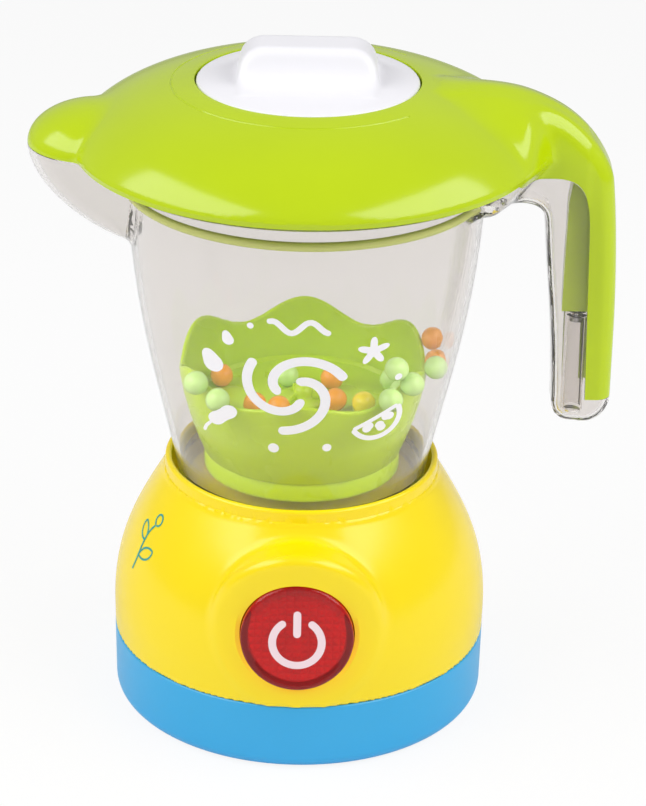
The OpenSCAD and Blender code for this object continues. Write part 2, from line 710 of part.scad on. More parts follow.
// A line of points moved sideways by d, to the right of the way it runs
function shift(pts, d) = [for (i = [0:len(pts) - 1]) let (
    a = pts[max(i - 1, 0)], b = pts[min(i + 1, len(pts) - 1)], t = (b - a) / norm(b - a))
    pts[i] + d * [t[1], -t[0]]];

// The keel of the spout seen from the side, from its tip down to the wall
function keel(t) = bez([-spout_reach, rim_z], [-spout_reach + 0.4, rim_z - spout_drop * 0.33],
    [-spout_reach + 15, rim_z - spout_drop * 0.76], [-jug_r + 3, rim_z - spout_drop], t);
// Side view, plan and end view of the spout; where all three meet is the scoop
module spout_solid(in, top) intersection() {
    rotate([90, 0, 0]) linear_extrude(60, center = true) polygon(concat(
        [[-40, top], [keel(0)[0] + in, top]],
        shift([for (i = [1:10]) keel(i / 10)], -in),
        [[-40, rim_z - spout_drop + in]]));
    translate([0, 0, 100]) linear_extrude(150) polygon(concat(
        arc([-spout_reach + spout_r, 0], spout_r - in, 90, 270, 18),
        [[-40, -spout_r + in], [-40, spout_r - in]]));
    translate([-110, 0, 0]) rotate([90, 0, 90]) linear_extrude(80) polygon(concat(
        [[spout_r - in, top + 1]],
        [for (a = [-6:-12:-174]) [(spout_r - in) * cos(a), rim_z + (spout_drop - in * 0.8) * sin(a)]],
        [[-spout_r + in, top + 1]]));
}

// The handle: its side view is bounded by an outer and an inner line, its plan is a bar that
// widens towards the jug; where the two meet is the handle
bridge_z = jug_z + bridge_h;
handle_end_z = jug_z + handle_bottom;
grip_in_x = handle_reach - grip_depth;
handle_out = concat(
    curve([46, knob_edge_z - 1.8], [62, knob_edge_z + 0.6], [handle_reach - 14.6, rim_z + 21.2],
          [handle_reach - 3.5, rim_z - 5.5], 9),
    curve([handle_reach - 3, rim_z - 7.5], [handle_reach - 1, bridge_z - 8],
          [handle_reach, bridge_z - 30], [handle_reach, handle_end_z + 30], 5),
    arc([handle_reach - 10, handle_end_z + 10], 10, 0, -80, 5));
handle_in = concat(
    [[46, bridge_z], [grip_in_x - 14, bridge_z]],
    arc([grip_in_x - 12.5, bridge_z - 8.5], 8.5, 90, 10, 5),
    curve([grip_in_x - 3.6, bridge_z - 12], [grip_in_x - 2, bridge_z - 34],
          [grip_in_x, handle_end_z + 40], [grip_in_x + 1, handle_end_z + 10], 5),
    arc([grip_in_x + 7, handle_end_z + 6.6], 6, 180, 260, 4));
function reversed(l) = [for (i = [len(l) - 1:-1:0]) l[i]];
function plan_half(in) = concat(
    [[46, 25 - in]], curve([54, 24.5 - in], [61, 15 - in], [68, handle_w / 2 + 0.5 - in],
                           [80, handle_w / 2 - in], 7),
    arc([handle_reach - 6.5, handle_w / 2 - 6.5], 6.5 - in, 90, 0, 5));
module handle_solid(in) intersection() {
    rotate([90, 0, 0]) linear_extrude(60, center = true)
        polygon(concat(shift(handle_out, in), reversed(shift(handle_in, -in))));
    translate([0, 0, 80]) linear_extrude(200)
        polygon(concat(plan_half(in), [for (p = reversed(plan_half(in))) [p[0], -p[1]]]));
}

// Side view of what belongs to the green cover; the clear shell has the rest
split_z = bridge_z + 9.5;
strip_x = handle_reach - cover_t;
strip_end_z = handle_end_z + 10;
flange_r = lid_r - 4;
module cover_zone(play) difference() {
    rotate([90, 0, 0]) linear_extrude(80, center = true) polygon(concat(
        [[30, split_z + play]],
        curve([strip_x - 14, split_z + play], [strip_x - 4 + play, split_z + play],
              [strip_x - 2 + play, split_z - 6], [strip_x - 1.6 + play, split_z - 20], 6),
        [[strip_x + play, strip_end_z + play], [handle_reach + 10, strip_end_z + play],
         [handle_reach + 10, knob_edge_z + 20], [30, knob_edge_z + 20]]));
    cylinder(r = flange_r + play, h = rim_z + play, $fn = fine);
}

handle_post = [handle_reach - 12.4, handle_end_z + 40];
post_bore = 3.1;

module jug_shell() color(clear) {
    difference() {
        union() {
            difference() {
                union() {
                    // Wall, rim flange and the bead below it
                    rotate_extrude($fn = fine) polygon(concat(
                        [[0, jug_z], [jug_foot_r - 0.8, jug_z]],
                        [for (p = jug_curve(0)) if (p[1] > jug_z + 0.5) p], [[0, rim_z]]));
                    translate([0, 0, rim_z - 2]) cylinder(r = flange_r, h = 2, $fn = fine);
                    translate([0, 0, rim_z - 12.5]) rotate_extrude($fn = fine) translate([jug_r - 0.3, 0])
                        circle(r = 1.5, $fn = 24);
                    spout_solid(0, rim_z - 0.3);
                    // Shell of the handle, open towards its green cover
                    difference() {
                        handle_solid(0);
                        handle_solid(jug_wall);
                        cover_zone(0);
                    }
                }
                // Inside of the jug above and below its floor
                rotate_extrude($fn = fine) polygon(concat(
                    [[0, jug_floor_z], [jug_r_at(jug_floor_z, jug_wall), jug_floor_z]],
                    [for (p = jug_curve(jug_wall)) if (p[1] > jug_floor_z + 1 && p[1] < rim_z - 1) p],
                    [[jug_r - jug_wall, rim_z + 1], [0, rim_z + 1]]));
                translate([0, 0, jug_z - 1])
                    cylinder(r = jug_foot_r - jug_wall, h = foot_h + 1 - jug_wall, $fn = fine);
                // Hollow of the spout, open to the jug
                spout_solid(jug_wall, rim_z + 1);
            }
            // Screw post in the grip
            translate([handle_post[0], 0, handle_end_z + 3]) cylinder(r = post_bore + 1.5,
                h = handle_post[1] - handle_end_z - 3);
        }
        translate([handle_post[0], 0, 0]) cylinder(r = post_bore, h = handle_post[1] - 2.4);
        translate([handle_post[0], 0, 0]) cylinder(r = screw_r + 0.2, h = handle_post[1] + 1);
        // Bores in the floor: bush and bowl screws
        cylinder(r = bush_r + 0.02, h = jug_floor_z + 1);
        at_bowl_screws() cylinder(r = screw_r + 0.2, h = jug_floor_z + 1);
    }
}

module handle_screw() translate([handle_post[0], 0, handle_post[1] - 2.4])
    screw(length = 12, head_r = 2.6);

// ---------------------------------------------------------------- jug: bowl and rotor
bush_r = 4;
bush_flange_r = 6.5;
function bowl_curve(in) = curve([bowl_foot_r + 0.4 - in, jug_floor_z + 7.6], [bowl_foot_r + 4.6 - in, jug_floor_z + 18],
    [bowl_r - 1.2 - in, jug_floor_z + 28], [bowl_r - in, bowl_rim_z + wave_h / 2 + 1], 12);
function bowl_r_at(z, in = 0) = lookup(z, [for (p = bowl_curve(in)) [p[1], p[0]]]);
// Height of the wavy rim at angle a: its crests stand midway between the troughs at
// 0 degrees, 60 degrees and so on, and those at the front are lower
function crest(a) = 1 - front_dip * pow(max(0, -sin(a)), 2.2);
function crest_at(a) = (floor(a * waves / 360) + 0.5) * 360 / waves;
function wave_z(a) = bowl_rim_z - wave_h / 2
    + wave_h * crest(crest_at(a)) * (1 - cos(waves * a)) / 2;
module at_bowl_screws() for (a = [90, 210, 330]) rotate(a) translate([22, 0, 0]) children();
hub_r = 3.4;
hub_wall = 2;

module bowl_insert() color(lime) difference() {
    union() {
        difference() {
            rotate_extrude($fn = fine) polygon(concat(
                [[bowl_foot_r - bowl_wall - 1, jug_floor_z], [bowl_foot_r, jug_floor_z],
                 [bowl_foot_r, jug_floor_z + 6.4], [bowl_foot_r - 0.6, jug_floor_z + 7]],
                bowl_curve(0),
                [for (i = [12:-1:0]) let (p = bowl_curve(bowl_wall)[i]) p],
                [[bowl_foot_r - bowl_wall - 1, jug_floor_z + 7]]));
            // The wave: one cutter for each sixth of the rim
            for (k = [0:waves - 1]) let (c = (k + 0.5) * 360 / waves) rotate(c) rotate([90, 0, 90])
                linear_extrude(60) polygon(concat(
                    [for (i = [-8:8]) let (a = i * 22.5 / waves)
                        [bowl_r * tan(a), wave_z(c + a * 0.9999)]],
                    [[bowl_r * tan(180 / waves), bowl_rim_z + 20], [-bowl_r * tan(180 / waves), bowl_rim_z + 20]]));
        }
        // Ball floor and its central tube
        rotate_extrude($fn = fine) polygon([[0, bowl_floor_z - bowl_wall],
            [bowl_r_at(bowl_floor_z, bowl_wall / 2), bowl_floor_z - bowl_wall],
            [bowl_r_at(bowl_floor_z, bowl_wall / 2), bowl_floor_z], [0, bowl_floor_z]]);
        translate([0, 0, bowl_floor_z - 9]) cylinder(r = rotor_shaft_r + 2, h = 9);
        at_bowl_screws() translate([0, 0, jug_floor_z]) cylinder(r = 3, h = ball_floor_h - 1);
    }
    cylinder(r = rotor_shaft_r + run_clr, h = bowl_floor_z + 1);
    at_bowl_screws() translate([0, 0, jug_floor_z - 1]) cylinder(r = screw_r + 0.02, h = 10);
}

module bowl_screws() at_bowl_screws() translate([0, 0, jug_floor_z - jug_wall])
    screw(length = 9, head_r = 2.4, head_h = 1.4);

module rotor_bush() color(brass) difference() {
    union() {
        translate([0, 0, jug_floor_z - jug_wall]) cylinder(r = bush_r, h = 7);
        translate([0, 0, jug_floor_z]) cylinder(r = bush_flange_r, h = 1.2);
    }
    cylinder(r = rotor_shaft_r + run_clr, h = 200);
}

driven_z = well_z + seat + disc_t + 2 * seat;
module driven_coupling() color(white) difference() {
    union() {
        translate([0, 0, driven_z + dog_h]) cylinder(r = dog_r, h = disc_t - 0.4);
        translate([0, 0, driven_z + eps]) dogs(60);
    }
    translate([0, 0, driven_z - 1]) cylinder(r = rotor_shaft_r + 0.02, h = 9);
}

rotor_z = bowl_floor_z + gap;
rotor_t = 1.5;
module rotor_shaft() color(steel) translate([0, 0, driven_z + dog_h]) cylinder(r = rotor_shaft_r,
    h = rotor_z + rotor_t + 1.5 - driven_z - dog_h);

module rotor() color(lime) {
    difference() {
        union() {
            rotate_extrude($fn = fine) polygon(concat(
                [[0, rotor_z], [rotor_r, rotor_z], [rotor_r, rotor_z + rotor_t * 0.6],
                 [rotor_r - 0.6, rotor_z + rotor_t]],
                [[hub_r + 0.6, rotor_z + rotor_t], [hub_r, rotor_z + rotor_t + 0.6]],
                arc([0, rotor_z + rotor_t + 1.6], hub_r, 0, 90, 8)));
            // Swept vanes that push the balls round
            for (a = [100, 220, 340]) rotate(a) for (i = [0:5])
                translate([hub_r - 0.4 + i * (rotor_r - hub_r - 1) / 6, i * i * 0.07, rotor_z + rotor_t - eps])
                    rotate(i * 4) translate([0, -0.6, 0])
                        cube([(rotor_r - hub_r) / 6 + 0.6, 1.2, vane_h]);
        }
        translate([0, 0, rotor_z - 1]) cylinder(r = rotor_shaft_r + 0.02, h = 1 + rotor_t + 1.6);
    }
}

// ---------------------------------------------------------------- jug: balls
ball_gap = 0.15;
module ball() sphere(r = ball_r, $fn = 40);
// A ball on the ball floor at a place seen from above, lift above its place when it rides up
module floor_ball(x, y, lift = 0) translate([x, y, bowl_floor_z + ball_r + ball_gap + lift]) ball();
// A ball caught between the wavy rim and the jug's wall, at angle a
function rim_ball_r(z) = jug_r_at(z, jug_wall) - 1.03 * (ball_r + ball_gap);
function rim_ball_z(a, r) = wave_z(a) + 1.1 * sqrt(max(pow(ball_r + ball_gap, 2)
    - pow(max(r - bowl_r_at(wave_z(a)), 0), 2), 1));
module rim_ball(a) {
    // Placed twice over: the wall leans, so the ball's height moves it inwards
    z1 = rim_ball_z(a, rim_ball_r(wave_z(a) + 0.7 * ball_r));
    rotate(a) translate([rim_ball_r(z1), 0, rim_ball_z(a, rim_ball_r(z1))]) ball();
}
module balls_green() color(pale_green) {
    floor_ball(-5.7, 12.1);
    floor_ball(31, -7.6);
    floor_ball(30.8, 10.4);
    floor_ball(33.5, -13.2, 6.3);
}
module balls_orange() color(orange) {
    floor_ball(10, 10.6);
    floor_ball(11.3, -7.2);
    floor_ball(-28.6, 11);
    floor_ball(-16.2, -12);
    floor_ball(-8, -14.4);
}
module ball_yellow() color("#ffd400") floor_ball(21, -9.6);
module rim_balls_green() color(pale_green) for (a = [221.2, 233, 347]) rim_ball(a);
module rim_balls_orange() color(orange) for (a = [0.5, 14.8]) rim_ball(a);

// ---------------------------------------------------------------- lid
seat_z = knob_edge_z - 4.6;
seat_t = 2.2;
knob_well_r = knob_r + gap + 0.2;
function lid_curve(in) = curve([lid_r - in, lid_edge_z + 2.2 - (in > 0 ? 3 : 0)], [lid_r - 3.2 - in, lid_edge_z + 9.6 - in],
    [lid_r - 17 - in, knob_edge_z - 3.6 - in], [knob_well_r + (in > 0 ? 0 : 1), knob_edge_z - in], 12);
skirt_r = jug_r - jug_wall - gap;
// Height of the middle of the dome's wall at radius r
function lid_z_at(r) = lookup(-r, [for (p = lid_curve(0)) [-p[0], p[1]]]) - 1;

module spout_cover(in) translate([-spout_reach + spout_r + 0.3, 0, lid_edge_z]) rotate_extrude($fn = fine)
    polygon(concat([[0, 0]], [for (i = [0:9]) let (a = i * 10)
        [(spout_r + 0.3 - in) * pow(cos(a), 0.85), (spout_rise - in) * pow(sin(a), 0.92)]]));

module lid_dome(in) {
    rotate_extrude($fn = fine) polygon(concat(
        in > 0 ? [[0, lid_edge_z - 1], [lid_r - in, lid_edge_z - 1]] :
            [[0, lid_edge_z], [lid_r - 1.4, lid_edge_z], [lid_r - 0.4, lid_edge_z + 0.5]],
        lid_curve(in), [[0, knob_edge_z - in]]));
    spout_cover(in);
}

cover_wall = wall - 0.2;
module lid() color(lime) difference() {
    union() {
        difference() {
            union() {
                lid_dome(0);
                intersection() {
                    handle_solid(0);
                    cover_zone(seat);
                }
            }
            lid_dome(cover_wall);
            handle_solid(cover_wall);
        }
        // Rib in the grip that takes the handle screw
        intersection() {
            handle_solid(1);
            translate([handle_post[0] - 4, -3.6, handle_post[1] + seat])
                cube([30, 7.2, knob_edge_z - handle_post[1]]);
            union() {
                cylinder(r = 400, h = split_z + 3);
                translate([handle_post[0] + 2, -10, 0]) cube([30, 20, 400]);
            }
        }
        // Seat of the knob, with its wall, the skirt that plugs the jug, and the ring on its rim
        translate([0, 0, seat_z - seat_t]) cylinder(r = knob_well_r + 1.6, h = seat_t, $fn = fine);
        translate([0, 0, seat_z - seat_t]) rotate_extrude($fn = fine) translate([knob_well_r, 0])
            square([1.6, knob_edge_z - seat_z + seat_t - 0.6]);
        rotate_extrude($fn = fine) polygon([[skirt_r - 1.6, rim_z - 6], [skirt_r, rim_z - 6],
            [skirt_r, lid_edge_z], [flange_r + 2.5, lid_edge_z], [flange_r + 2.5, lid_edge_z + 1.8],
            [skirt_r, lid_edge_z + 1.8], [skirt_r, lid_z_at(skirt_r)], [skirt_r - 1.6, lid_z_at(skirt_r)]]);
    }
    translate([0, 0, seat_z]) cylinder(r = knob_well_r, h = 40, $fn = fine);
    translate([0, 0, seat_z - 10]) cylinder(r = spindle_r + run_clr, h = 40);
    // The spout stays open below its cover
    translate([-spout_reach + spout_r + 0.3, 0, rim_z - 8])
        cylinder(r = spout_r - jug_wall - 1, h = 8 + seat + 1.8 + eps, $fn = fine);
    translate([handle_post[0], 0, handle_post[1]]) cylinder(r = screw_r + 0.02, h = 11);
    for (s = [-1, 1]) translate([14, s * 3, seat_z - seat_t - 1]) cylinder(r = 0.92, h = 2.8);
}

// ---------------------------------------------------------------- knob
knob_under_z = seat_z + seat;
knob_top_z = knob_edge_z + knob_grip_h;
spindle_l = seat_t + 2.4;
ratchet_t = 1.8;
// End of the bar seen from the front, and its side seen along the bar
bar_end = concat([[knob_grip_l / 2, knob_edge_z + 4]],
    arc([knob_grip_l / 2 - 7.4, knob_top_z - 4], 4, 20, 90, 5));
bar_side = concat([[22, knob_edge_z - 2]],
    curve([22, knob_edge_z + 1], [knob_grip_w / 2 + 3, knob_edge_z + 2], [knob_grip_w / 2 + 1, knob_edge_z + 4],
          [knob_grip_w / 2, knob_top_z - 3], 6),
    arc([knob_grip_w / 2 - 2.4, knob_top_z - 2.4], 2.4, 20, 90, 4));
module knob() color(white) {
    difference() {
        union() {
            rotate_extrude($fn = fine) polygon(concat(
                [[0, knob_under_z], [knob_r - 0.8, knob_under_z], [knob_r, knob_under_z + 0.8]],
                arc([knob_r - 1.2, knob_edge_z - 1], 1.2, 0, 80, 5),
                curve([knob_r - 5, knob_edge_z + 0.9], [knob_r - 12, knob_edge_z + 1.6],
                      [20, knob_edge_z + 2.4], [0, knob_edge_z + 2.6], 6)));
            // Rounded bar to hold it by
            intersection() {
                rotate([90, 0, 0]) linear_extrude(60, center = true) polygon(concat(
                    [[-knob_grip_l / 2 - 1, knob_edge_z - 2], [knob_grip_l / 2 + 1, knob_edge_z - 2]],
                    bar_end, [for (p = reversed(bar_end)) [-p[0], p[1]]]));
                rotate([90, 0, 90]) linear_extrude(80, center = true) polygon(concat(
                    bar_side, [for (p = reversed(bar_side)) [-p[0], p[1]]]));
            }
            translate([0, 0, knob_under_z - spindle_l]) cylinder(r = spindle_r, h = spindle_l + 1);
        }
        // Hollow under the bar, and the pilot of its screw
        translate([0, 0, knob_under_z - spindle_l - 1]) cylinder(r = screw_r + 0.02, h = 9);
        translate([0, 0, knob_under_z - eps]) difference() {
            cylinder(r = knob_r - 2.2, h = 2.2, $fn = fine);
            translate([0, 0, -1]) cylinder(r = spindle_r + 2.4, h = 5);
        }
    }
}

module knob_ratchet() color(white) translate([0, 0, knob_under_z - spindle_l - ratchet_t])
    difference() {
        linear_extrude(ratchet_t) difference() {
            circle(r = 10);
            for (i = [0:11]) rotate(i * 30) translate([10.6, 0]) circle(r = 1.5, $fn = 24);
        }
        translate([0, 0, -1]) cylinder(r = screw_r + 0.2, h = 5);
    }

module knob_screw() translate([0, 0, knob_under_z - spindle_l - ratchet_t]) screw(length = 8, head_r = 2.8);

module knob_click_spring() {
    // A bent wire leaf screwed under the lid, its tip resting in a notch of the ratchet
    z = seat_z - seat_t;
    color(steel) {
        difference() {
            translate([11.4, -6, z - 0.6]) cube([6, 12, 0.6]);
            for (s = [-1, 1]) translate([14, s * 3, z - 2]) cylinder(r = 1.1, h = 4);
        }
        translate([11.4, -1, z - 4.4]) cube([0.5, 2, 4]);
        translate([11.15, 0, z - 4.4]) cylinder(r = 0.9, h = 1.8, $fn = 24);
        for (s = [-1, 1]) translate([14, s * 3, z - 0.6]) screw_short();
    }
}
module screw_short() screw(length = 2.2, head_r = 1.8, head_h = 1, r = 0.9);

base_tray();
base_housing();
battery_door();
door_screw();
battery_cells();
battery_contacts();
housing_screws();
speaker();
sound_board();
board_screws();
power_switch();
power_slider();
button_cap();
button_spring();
button_board();
button_board_screws();
button_lamps();
push_switch();
switch_plunger();
gearbox_plate();
gearbox_cover();
gearbox_screws();
motor();
motor_screws();
motor_pinion();
idler_pin();
idler_gear();
output_gear();
drive_shaft();
drive_coupling();
jug_shell();
bowl_insert();
bowl_screws();
rotor_bush();
driven_coupling();
rotor_shaft();
rotor();
balls_green();
balls_orange();
ball_yellow();
rim_balls_green();
rim_balls_orange();
lid();
handle_screw();
knob();
knob_ratchet();
knob_screw();
knob_click_spring();
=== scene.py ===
# %% [markdown]
# # A toy blender, dressed for its portrait
# The solids of the toy come from its CAD model. This file loads them as a fixed frame, then
# models the mouldings that show: the base, the button, the clear jug, the lid with the covers
# of spout and handle, the knob, the bowl and the balls. Lengths are written in millimetres and
# turned into metres in one place, because that is how a moulding drawing is written.

# %% Load the frame
import math
from contextlib import contextmanager

import bpy
import numpy as np
from mathutils import Matrix, Vector


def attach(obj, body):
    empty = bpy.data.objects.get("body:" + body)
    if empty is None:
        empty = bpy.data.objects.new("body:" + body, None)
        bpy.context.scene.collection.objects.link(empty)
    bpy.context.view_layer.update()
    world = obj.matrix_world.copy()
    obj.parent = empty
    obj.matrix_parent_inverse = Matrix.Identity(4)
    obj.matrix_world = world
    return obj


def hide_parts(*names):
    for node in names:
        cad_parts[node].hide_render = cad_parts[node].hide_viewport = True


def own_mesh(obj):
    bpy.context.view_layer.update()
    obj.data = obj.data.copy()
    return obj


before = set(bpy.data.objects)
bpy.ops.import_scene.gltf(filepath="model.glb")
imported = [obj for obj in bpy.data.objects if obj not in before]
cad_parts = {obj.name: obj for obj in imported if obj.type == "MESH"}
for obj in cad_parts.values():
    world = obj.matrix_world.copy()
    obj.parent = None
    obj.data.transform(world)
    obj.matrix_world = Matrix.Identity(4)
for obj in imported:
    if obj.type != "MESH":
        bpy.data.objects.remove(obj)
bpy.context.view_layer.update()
MM = 0.001

# %% [markdown]
# ## The camera
# The picture was taken with a long lens from a little above, so the toy hardly narrows towards
# the back. The camera looks along +Y at a point 108.6 mm above the floor, from 24.7 degrees up,
# and is rolled by 1.2 degrees, which is why the toy leans a little to the right.

# %% Camera
CAMERA_AIM = (7.08, 0.0, 108.6)
CAMERA_DISTANCE = 1075.3
CAMERA_ELEVATION = math.radians(24.71)
CAMERA_ROLL = math.radians(1.18)
CAMERA_LENS = 138.55

camera_data = bpy.data.cameras.new("camera")
camera_data.lens = CAMERA_LENS
camera_data.sensor_width = 36.0
camera = bpy.data.objects.new("camera", camera_data)
bpy.context.scene.collection.objects.link(camera)
camera.location = (
    CAMERA_AIM[0] * MM,
    -CAMERA_DISTANCE * math.cos(CAMERA_ELEVATION) * MM,
    (CAMERA_AIM[2] + CAMERA_DISTANCE * math.sin(CAMERA_ELEVATION)) * MM,
)
tilt = math.pi / 2 - CAMERA_ELEVATION
camera.rotation_mode = "QUATERNION"
camera.rotation_quaternion = (
    Matrix.Rotation(tilt, 3, "X") @ Matrix.Rotation(CAMERA_ROLL, 3, "Z")
).to_quaternion()
bpy.context.scene.camera = camera
bpy.context.scene.view_settings.view_transform = "Standard"
print("camera at", [round(c, 3) for c in camera.location])

# %% [markdown]
# ## Helpers for modelling
# Most mouldings here are turned forms or grow out of one. A profile is laid out as an edge loop
# and spun round the axis, as with the Spin tool. Where forms run into each other, such as the
# lid and the cover of its handle, the rough pieces are joined, remeshed into one skin, and each
# point of the skin is then settled onto a formula for the finished surface. The formula blends
# one form into the next, which gives the soft fillets of a moulding, without ripples.

# %% Helpers: selecting and finishing
def select_only(piece):
    bpy.ops.object.select_all(action="DESELECT")
    piece.select_set(True)
    bpy.context.view_layer.objects.active = piece


@contextmanager
def editing(piece):
    """Edit mode with all of the piece selected."""
    select_only(piece)
    bpy.ops.object.mode_set(mode="EDIT")
    bpy.ops.mesh.select_all(action="SELECT")
    yield
    bpy.ops.object.mode_set(mode="OBJECT")


def rename(name):
    piece = bpy.context.object
    piece.name = name
    piece.data.name = name
    return piece


def primitive(name, kind, **settings):
    """Adds a mesh primitive and names it."""
    bpy.ops.object.select_all(action="DESELECT")
    getattr(bpy.ops.mesh, "primitive_%s_add" % kind)(**settings)
    return rename(name)


def points_of(piece):
    co = np.empty(len(piece.data.vertices) * 3)
    piece.data.vertices.foreach_get("co", co)
    return co.reshape(-1, 3) / MM


def place_points(piece, points):
    piece.data.vertices.foreach_set("co", (np.asarray(points) * MM).ravel())
    piece.data.update()


def apply(piece, kind, **settings):
    """Adds a modifier, sets it and applies it."""
    select_only(piece)
    modifier = piece.modifiers.new(kind.lower(), kind)
    for key, value in settings.items():
        setattr(modifier, key, value)
    bpy.ops.object.modifier_apply(modifier=modifier.name)
    return piece


def smooth(piece, angle=35):
    select_only(piece)
    bpy.ops.object.shade_smooth_by_angle(angle=math.radians(angle))
    return piece


def outward(piece, merge=0.002):
    """Merges doubles and turns all faces outwards."""
    with editing(piece):
        bpy.ops.mesh.remove_doubles(threshold=merge * MM)
        bpy.ops.mesh.normals_make_consistent(inside=False)
    return piece


def cut(piece, tool, operation="DIFFERENCE"):
    """Booleans a closed tool into a closed piece."""
    apply(piece, "BOOLEAN", object=tool, operation=operation, solver="MANIFOLD")
    bpy.data.objects.remove(tool)
    return piece


def join(name, pieces):
    select_only(pieces[0])
    for piece in pieces[1:]:
        piece.select_set(True)
    bpy.ops.object.join()
    return rename(name)


# %% [markdown]
# Outlines are built from straight runs, arcs and Bezier curves. They are spun for round parts and
# extruded for flat ones, which is quicker to change than a sculpted mesh.

# %% Helpers: turned forms and slabs
def curve(p0, p1, p2, p3, n=24):
    t = np.linspace(0, 1, n + 1)[:, None]
    p0, p1, p2, p3 = (np.array(p, float) for p in (p0, p1, p2, p3))
    return (1 - t) ** 3 * p0 + 3 * t * (1 - t) ** 2 * p1 + 3 * t * t * (1 - t) * p2 + t**3 * p3


def arc(centre, radius, start, end, n=8):
    a = np.radians(np.linspace(start, end, n + 1))
    return np.array(centre) + radius * np.column_stack((np.cos(a), np.sin(a)))


def line(*points):
    return np.array(points, float)


def outline_ring(name, points):
    """A circle primitive with a vertex for each point, moved onto the outline in XZ."""
    piece = primitive(name, "circle", vertices=len(points), radius=0.05)
    place_points(piece, np.column_stack((points[:, 0], np.zeros(len(points)), points[:, 1])))
    return piece


def turned(name, parts, steps=128):
    """Spins a closed outline (radius, height) round the Z axis into a closed solid."""
    profile = np.vstack(parts)
    keep = np.r_[True, np.linalg.norm(np.diff(profile, axis=0), axis=1) > 1e-6]
    piece = outline_ring(name, profile[keep])
    with editing(piece):
        bpy.ops.mesh.spin(steps=steps, angle=2 * math.pi, center=(0, 0, 0), axis=(0, 0, 1))
    outward(piece)
    # the edge that ran along the axis leaves faces without area, which are dissolved
    with editing(piece):
        bpy.ops.mesh.dissolve_degenerate(threshold=0.0005 * MM)
    return piece


def slab(name, parts, y0, y1):
    """An outline in XZ filled and extruded along Y into a closed solid."""
    piece = outline_ring(name, np.vstack(parts))
    moved = points_of(piece)
    moved[:, 1] = y0
    place_points(piece, moved)
    with editing(piece):
        bpy.ops.mesh.edge_face_add()
        bpy.ops.mesh.extrude_region_move(TRANSFORM_OT_translate={"value": (0, (y1 - y0) * MM, 0)})
    return outward(piece)


def block(name, x0, z0, x1, z1, y0, y1):
    return slab(name, line((x0, z0), (x1, z0), (x1, z1), (x0, z1)), y0, y1)


def drum(name, radius, z0, z1, centre=(0, 0), sides=128):
    middle = (centre[0] * MM, centre[1] * MM, (z0 + z1) / 2 * MM)
    piece = primitive(
        name, "cylinder", vertices=sides, radius=radius * MM, depth=(z1 - z0) * MM, location=middle
    )
    select_only(piece)
    bpy.ops.object.transform_apply(location=True, rotation=True, scale=True)
    return piece


# %% [markdown]
# A formula gives the distance from the finished surface, negative inside the plastic. Two of them
# are blended for a fillet, and a skin is settled by stepping along the slope of the formula.

# %% Helpers: formulas for blended surfaces
class Outline:
    """Distance to a closed 2-D outline, negative inside, kept on a fine grid."""

    def __init__(self, parts, step=0.4, pad=10.0):
        points = np.vstack(parts)
        self.low = points.min(0) - pad
        self.step = step
        nu, nv = (np.ceil((points.max(0) + pad - self.low) / step)).astype(int) + 1
        u = self.low[0] + step * np.arange(nu)[:, None]
        v = self.low[1] + step * np.arange(nv)[None, :]
        best = np.full((nu, nv), 1e9)
        inside = np.zeros((nu, nv), bool)
        for a, b in zip(points, np.roll(points, -1, axis=0)):
            d = b - a
            length = d @ d
            if length < 1e-12:
                continue
            t = np.clip(((u - a[0]) * d[0] + (v - a[1]) * d[1]) / length, 0, 1)
            best = np.minimum(best, (u - a[0] - t * d[0]) ** 2 + (v - a[1] - t * d[1]) ** 2)
            if a[1] != b[1]:
                crosses = (a[1] > v) != (b[1] > v)
                inside ^= crosses & (u < d[0] * (v - a[1]) / d[1] + a[0])
        self.grid = np.where(inside, -1, 1) * np.sqrt(best)

    def __call__(self, u, v):
        nu, nv = self.grid.shape
        fu = np.clip((u - self.low[0]) / self.step, 0, nu - 1.001)
        fv = np.clip((v - self.low[1]) / self.step, 0, nv - 1.001)
        iu, iv = fu.astype(int), fv.astype(int)
        fu, fv = fu - iu, fv - iv
        g = self.grid
        return (g[iu, iv] * (1 - fu) + g[iu + 1, iv] * fu) * (1 - fv) + (
            g[iu, iv + 1] * (1 - fu) + g[iu + 1, iv + 1] * fu
        ) * fv


def soft_union(a, b, k):
    h = np.clip(0.5 + 0.5 * (b - a) / k, 0, 1)
    return b * (1 - h) + a * h - k * h * (1 - h)


def round_meet(a, b, r):
    """Where two half-spaces meet, with an outer edge of radius r."""
    return np.minimum(np.maximum(a, b), 0 - r) * (np.maximum(a, b) < -r) + (
        np.hypot(np.maximum(a + r, 0), np.maximum(b + r, 0)) - r
    ) * (np.maximum(a, b) >= -r)


def ease(t):
    t = np.clip(t, 0, 1)
    return t * t * (3 - 2 * t)


def settle(piece, formula, rounds=6, reach=3.0):
    """Moves every point of a skin onto the surface where the formula is zero.

    One round moves a point by no more than the reach."""
    p = points_of(piece)
    e = 0.05
    for _ in range(rounds):
        value = formula(p)
        slope = np.column_stack(
            [(formula(p + e * axis) - formula(p - e * axis)) / (2 * e) for axis in np.eye(3)]
        )
        step = value / np.maximum((slope**2).sum(1), 0.05)
        step = np.clip(step, -reach, reach)
        p -= step[:, None] * slope
    place_points(piece, p)
    return piece


def skin(name, rough_pieces, formula, voxel, rounds=2):
    """Joins rough pieces, remeshes them into one skin and settles it onto a formula."""
    piece = join(name, rough_pieces)
    for _ in range(rounds):
        apply(piece, "REMESH", mode="VOXEL", voxel_size=voxel * MM)
        settle(piece, formula)
    print(name, "skin of", len(piece.data.polygons), "faces")
    return piece

# %% [markdown]
# ## The finishes
# Moulded plastic is never one flat colour: the pigment is a little uneven, the polish varies, and
# the skin has a very fine ripple. Each finish gets that from noise on Object coordinates. The
# jug is clear polystyrene, and the button is a tinted clear plastic over a plate of prisms.

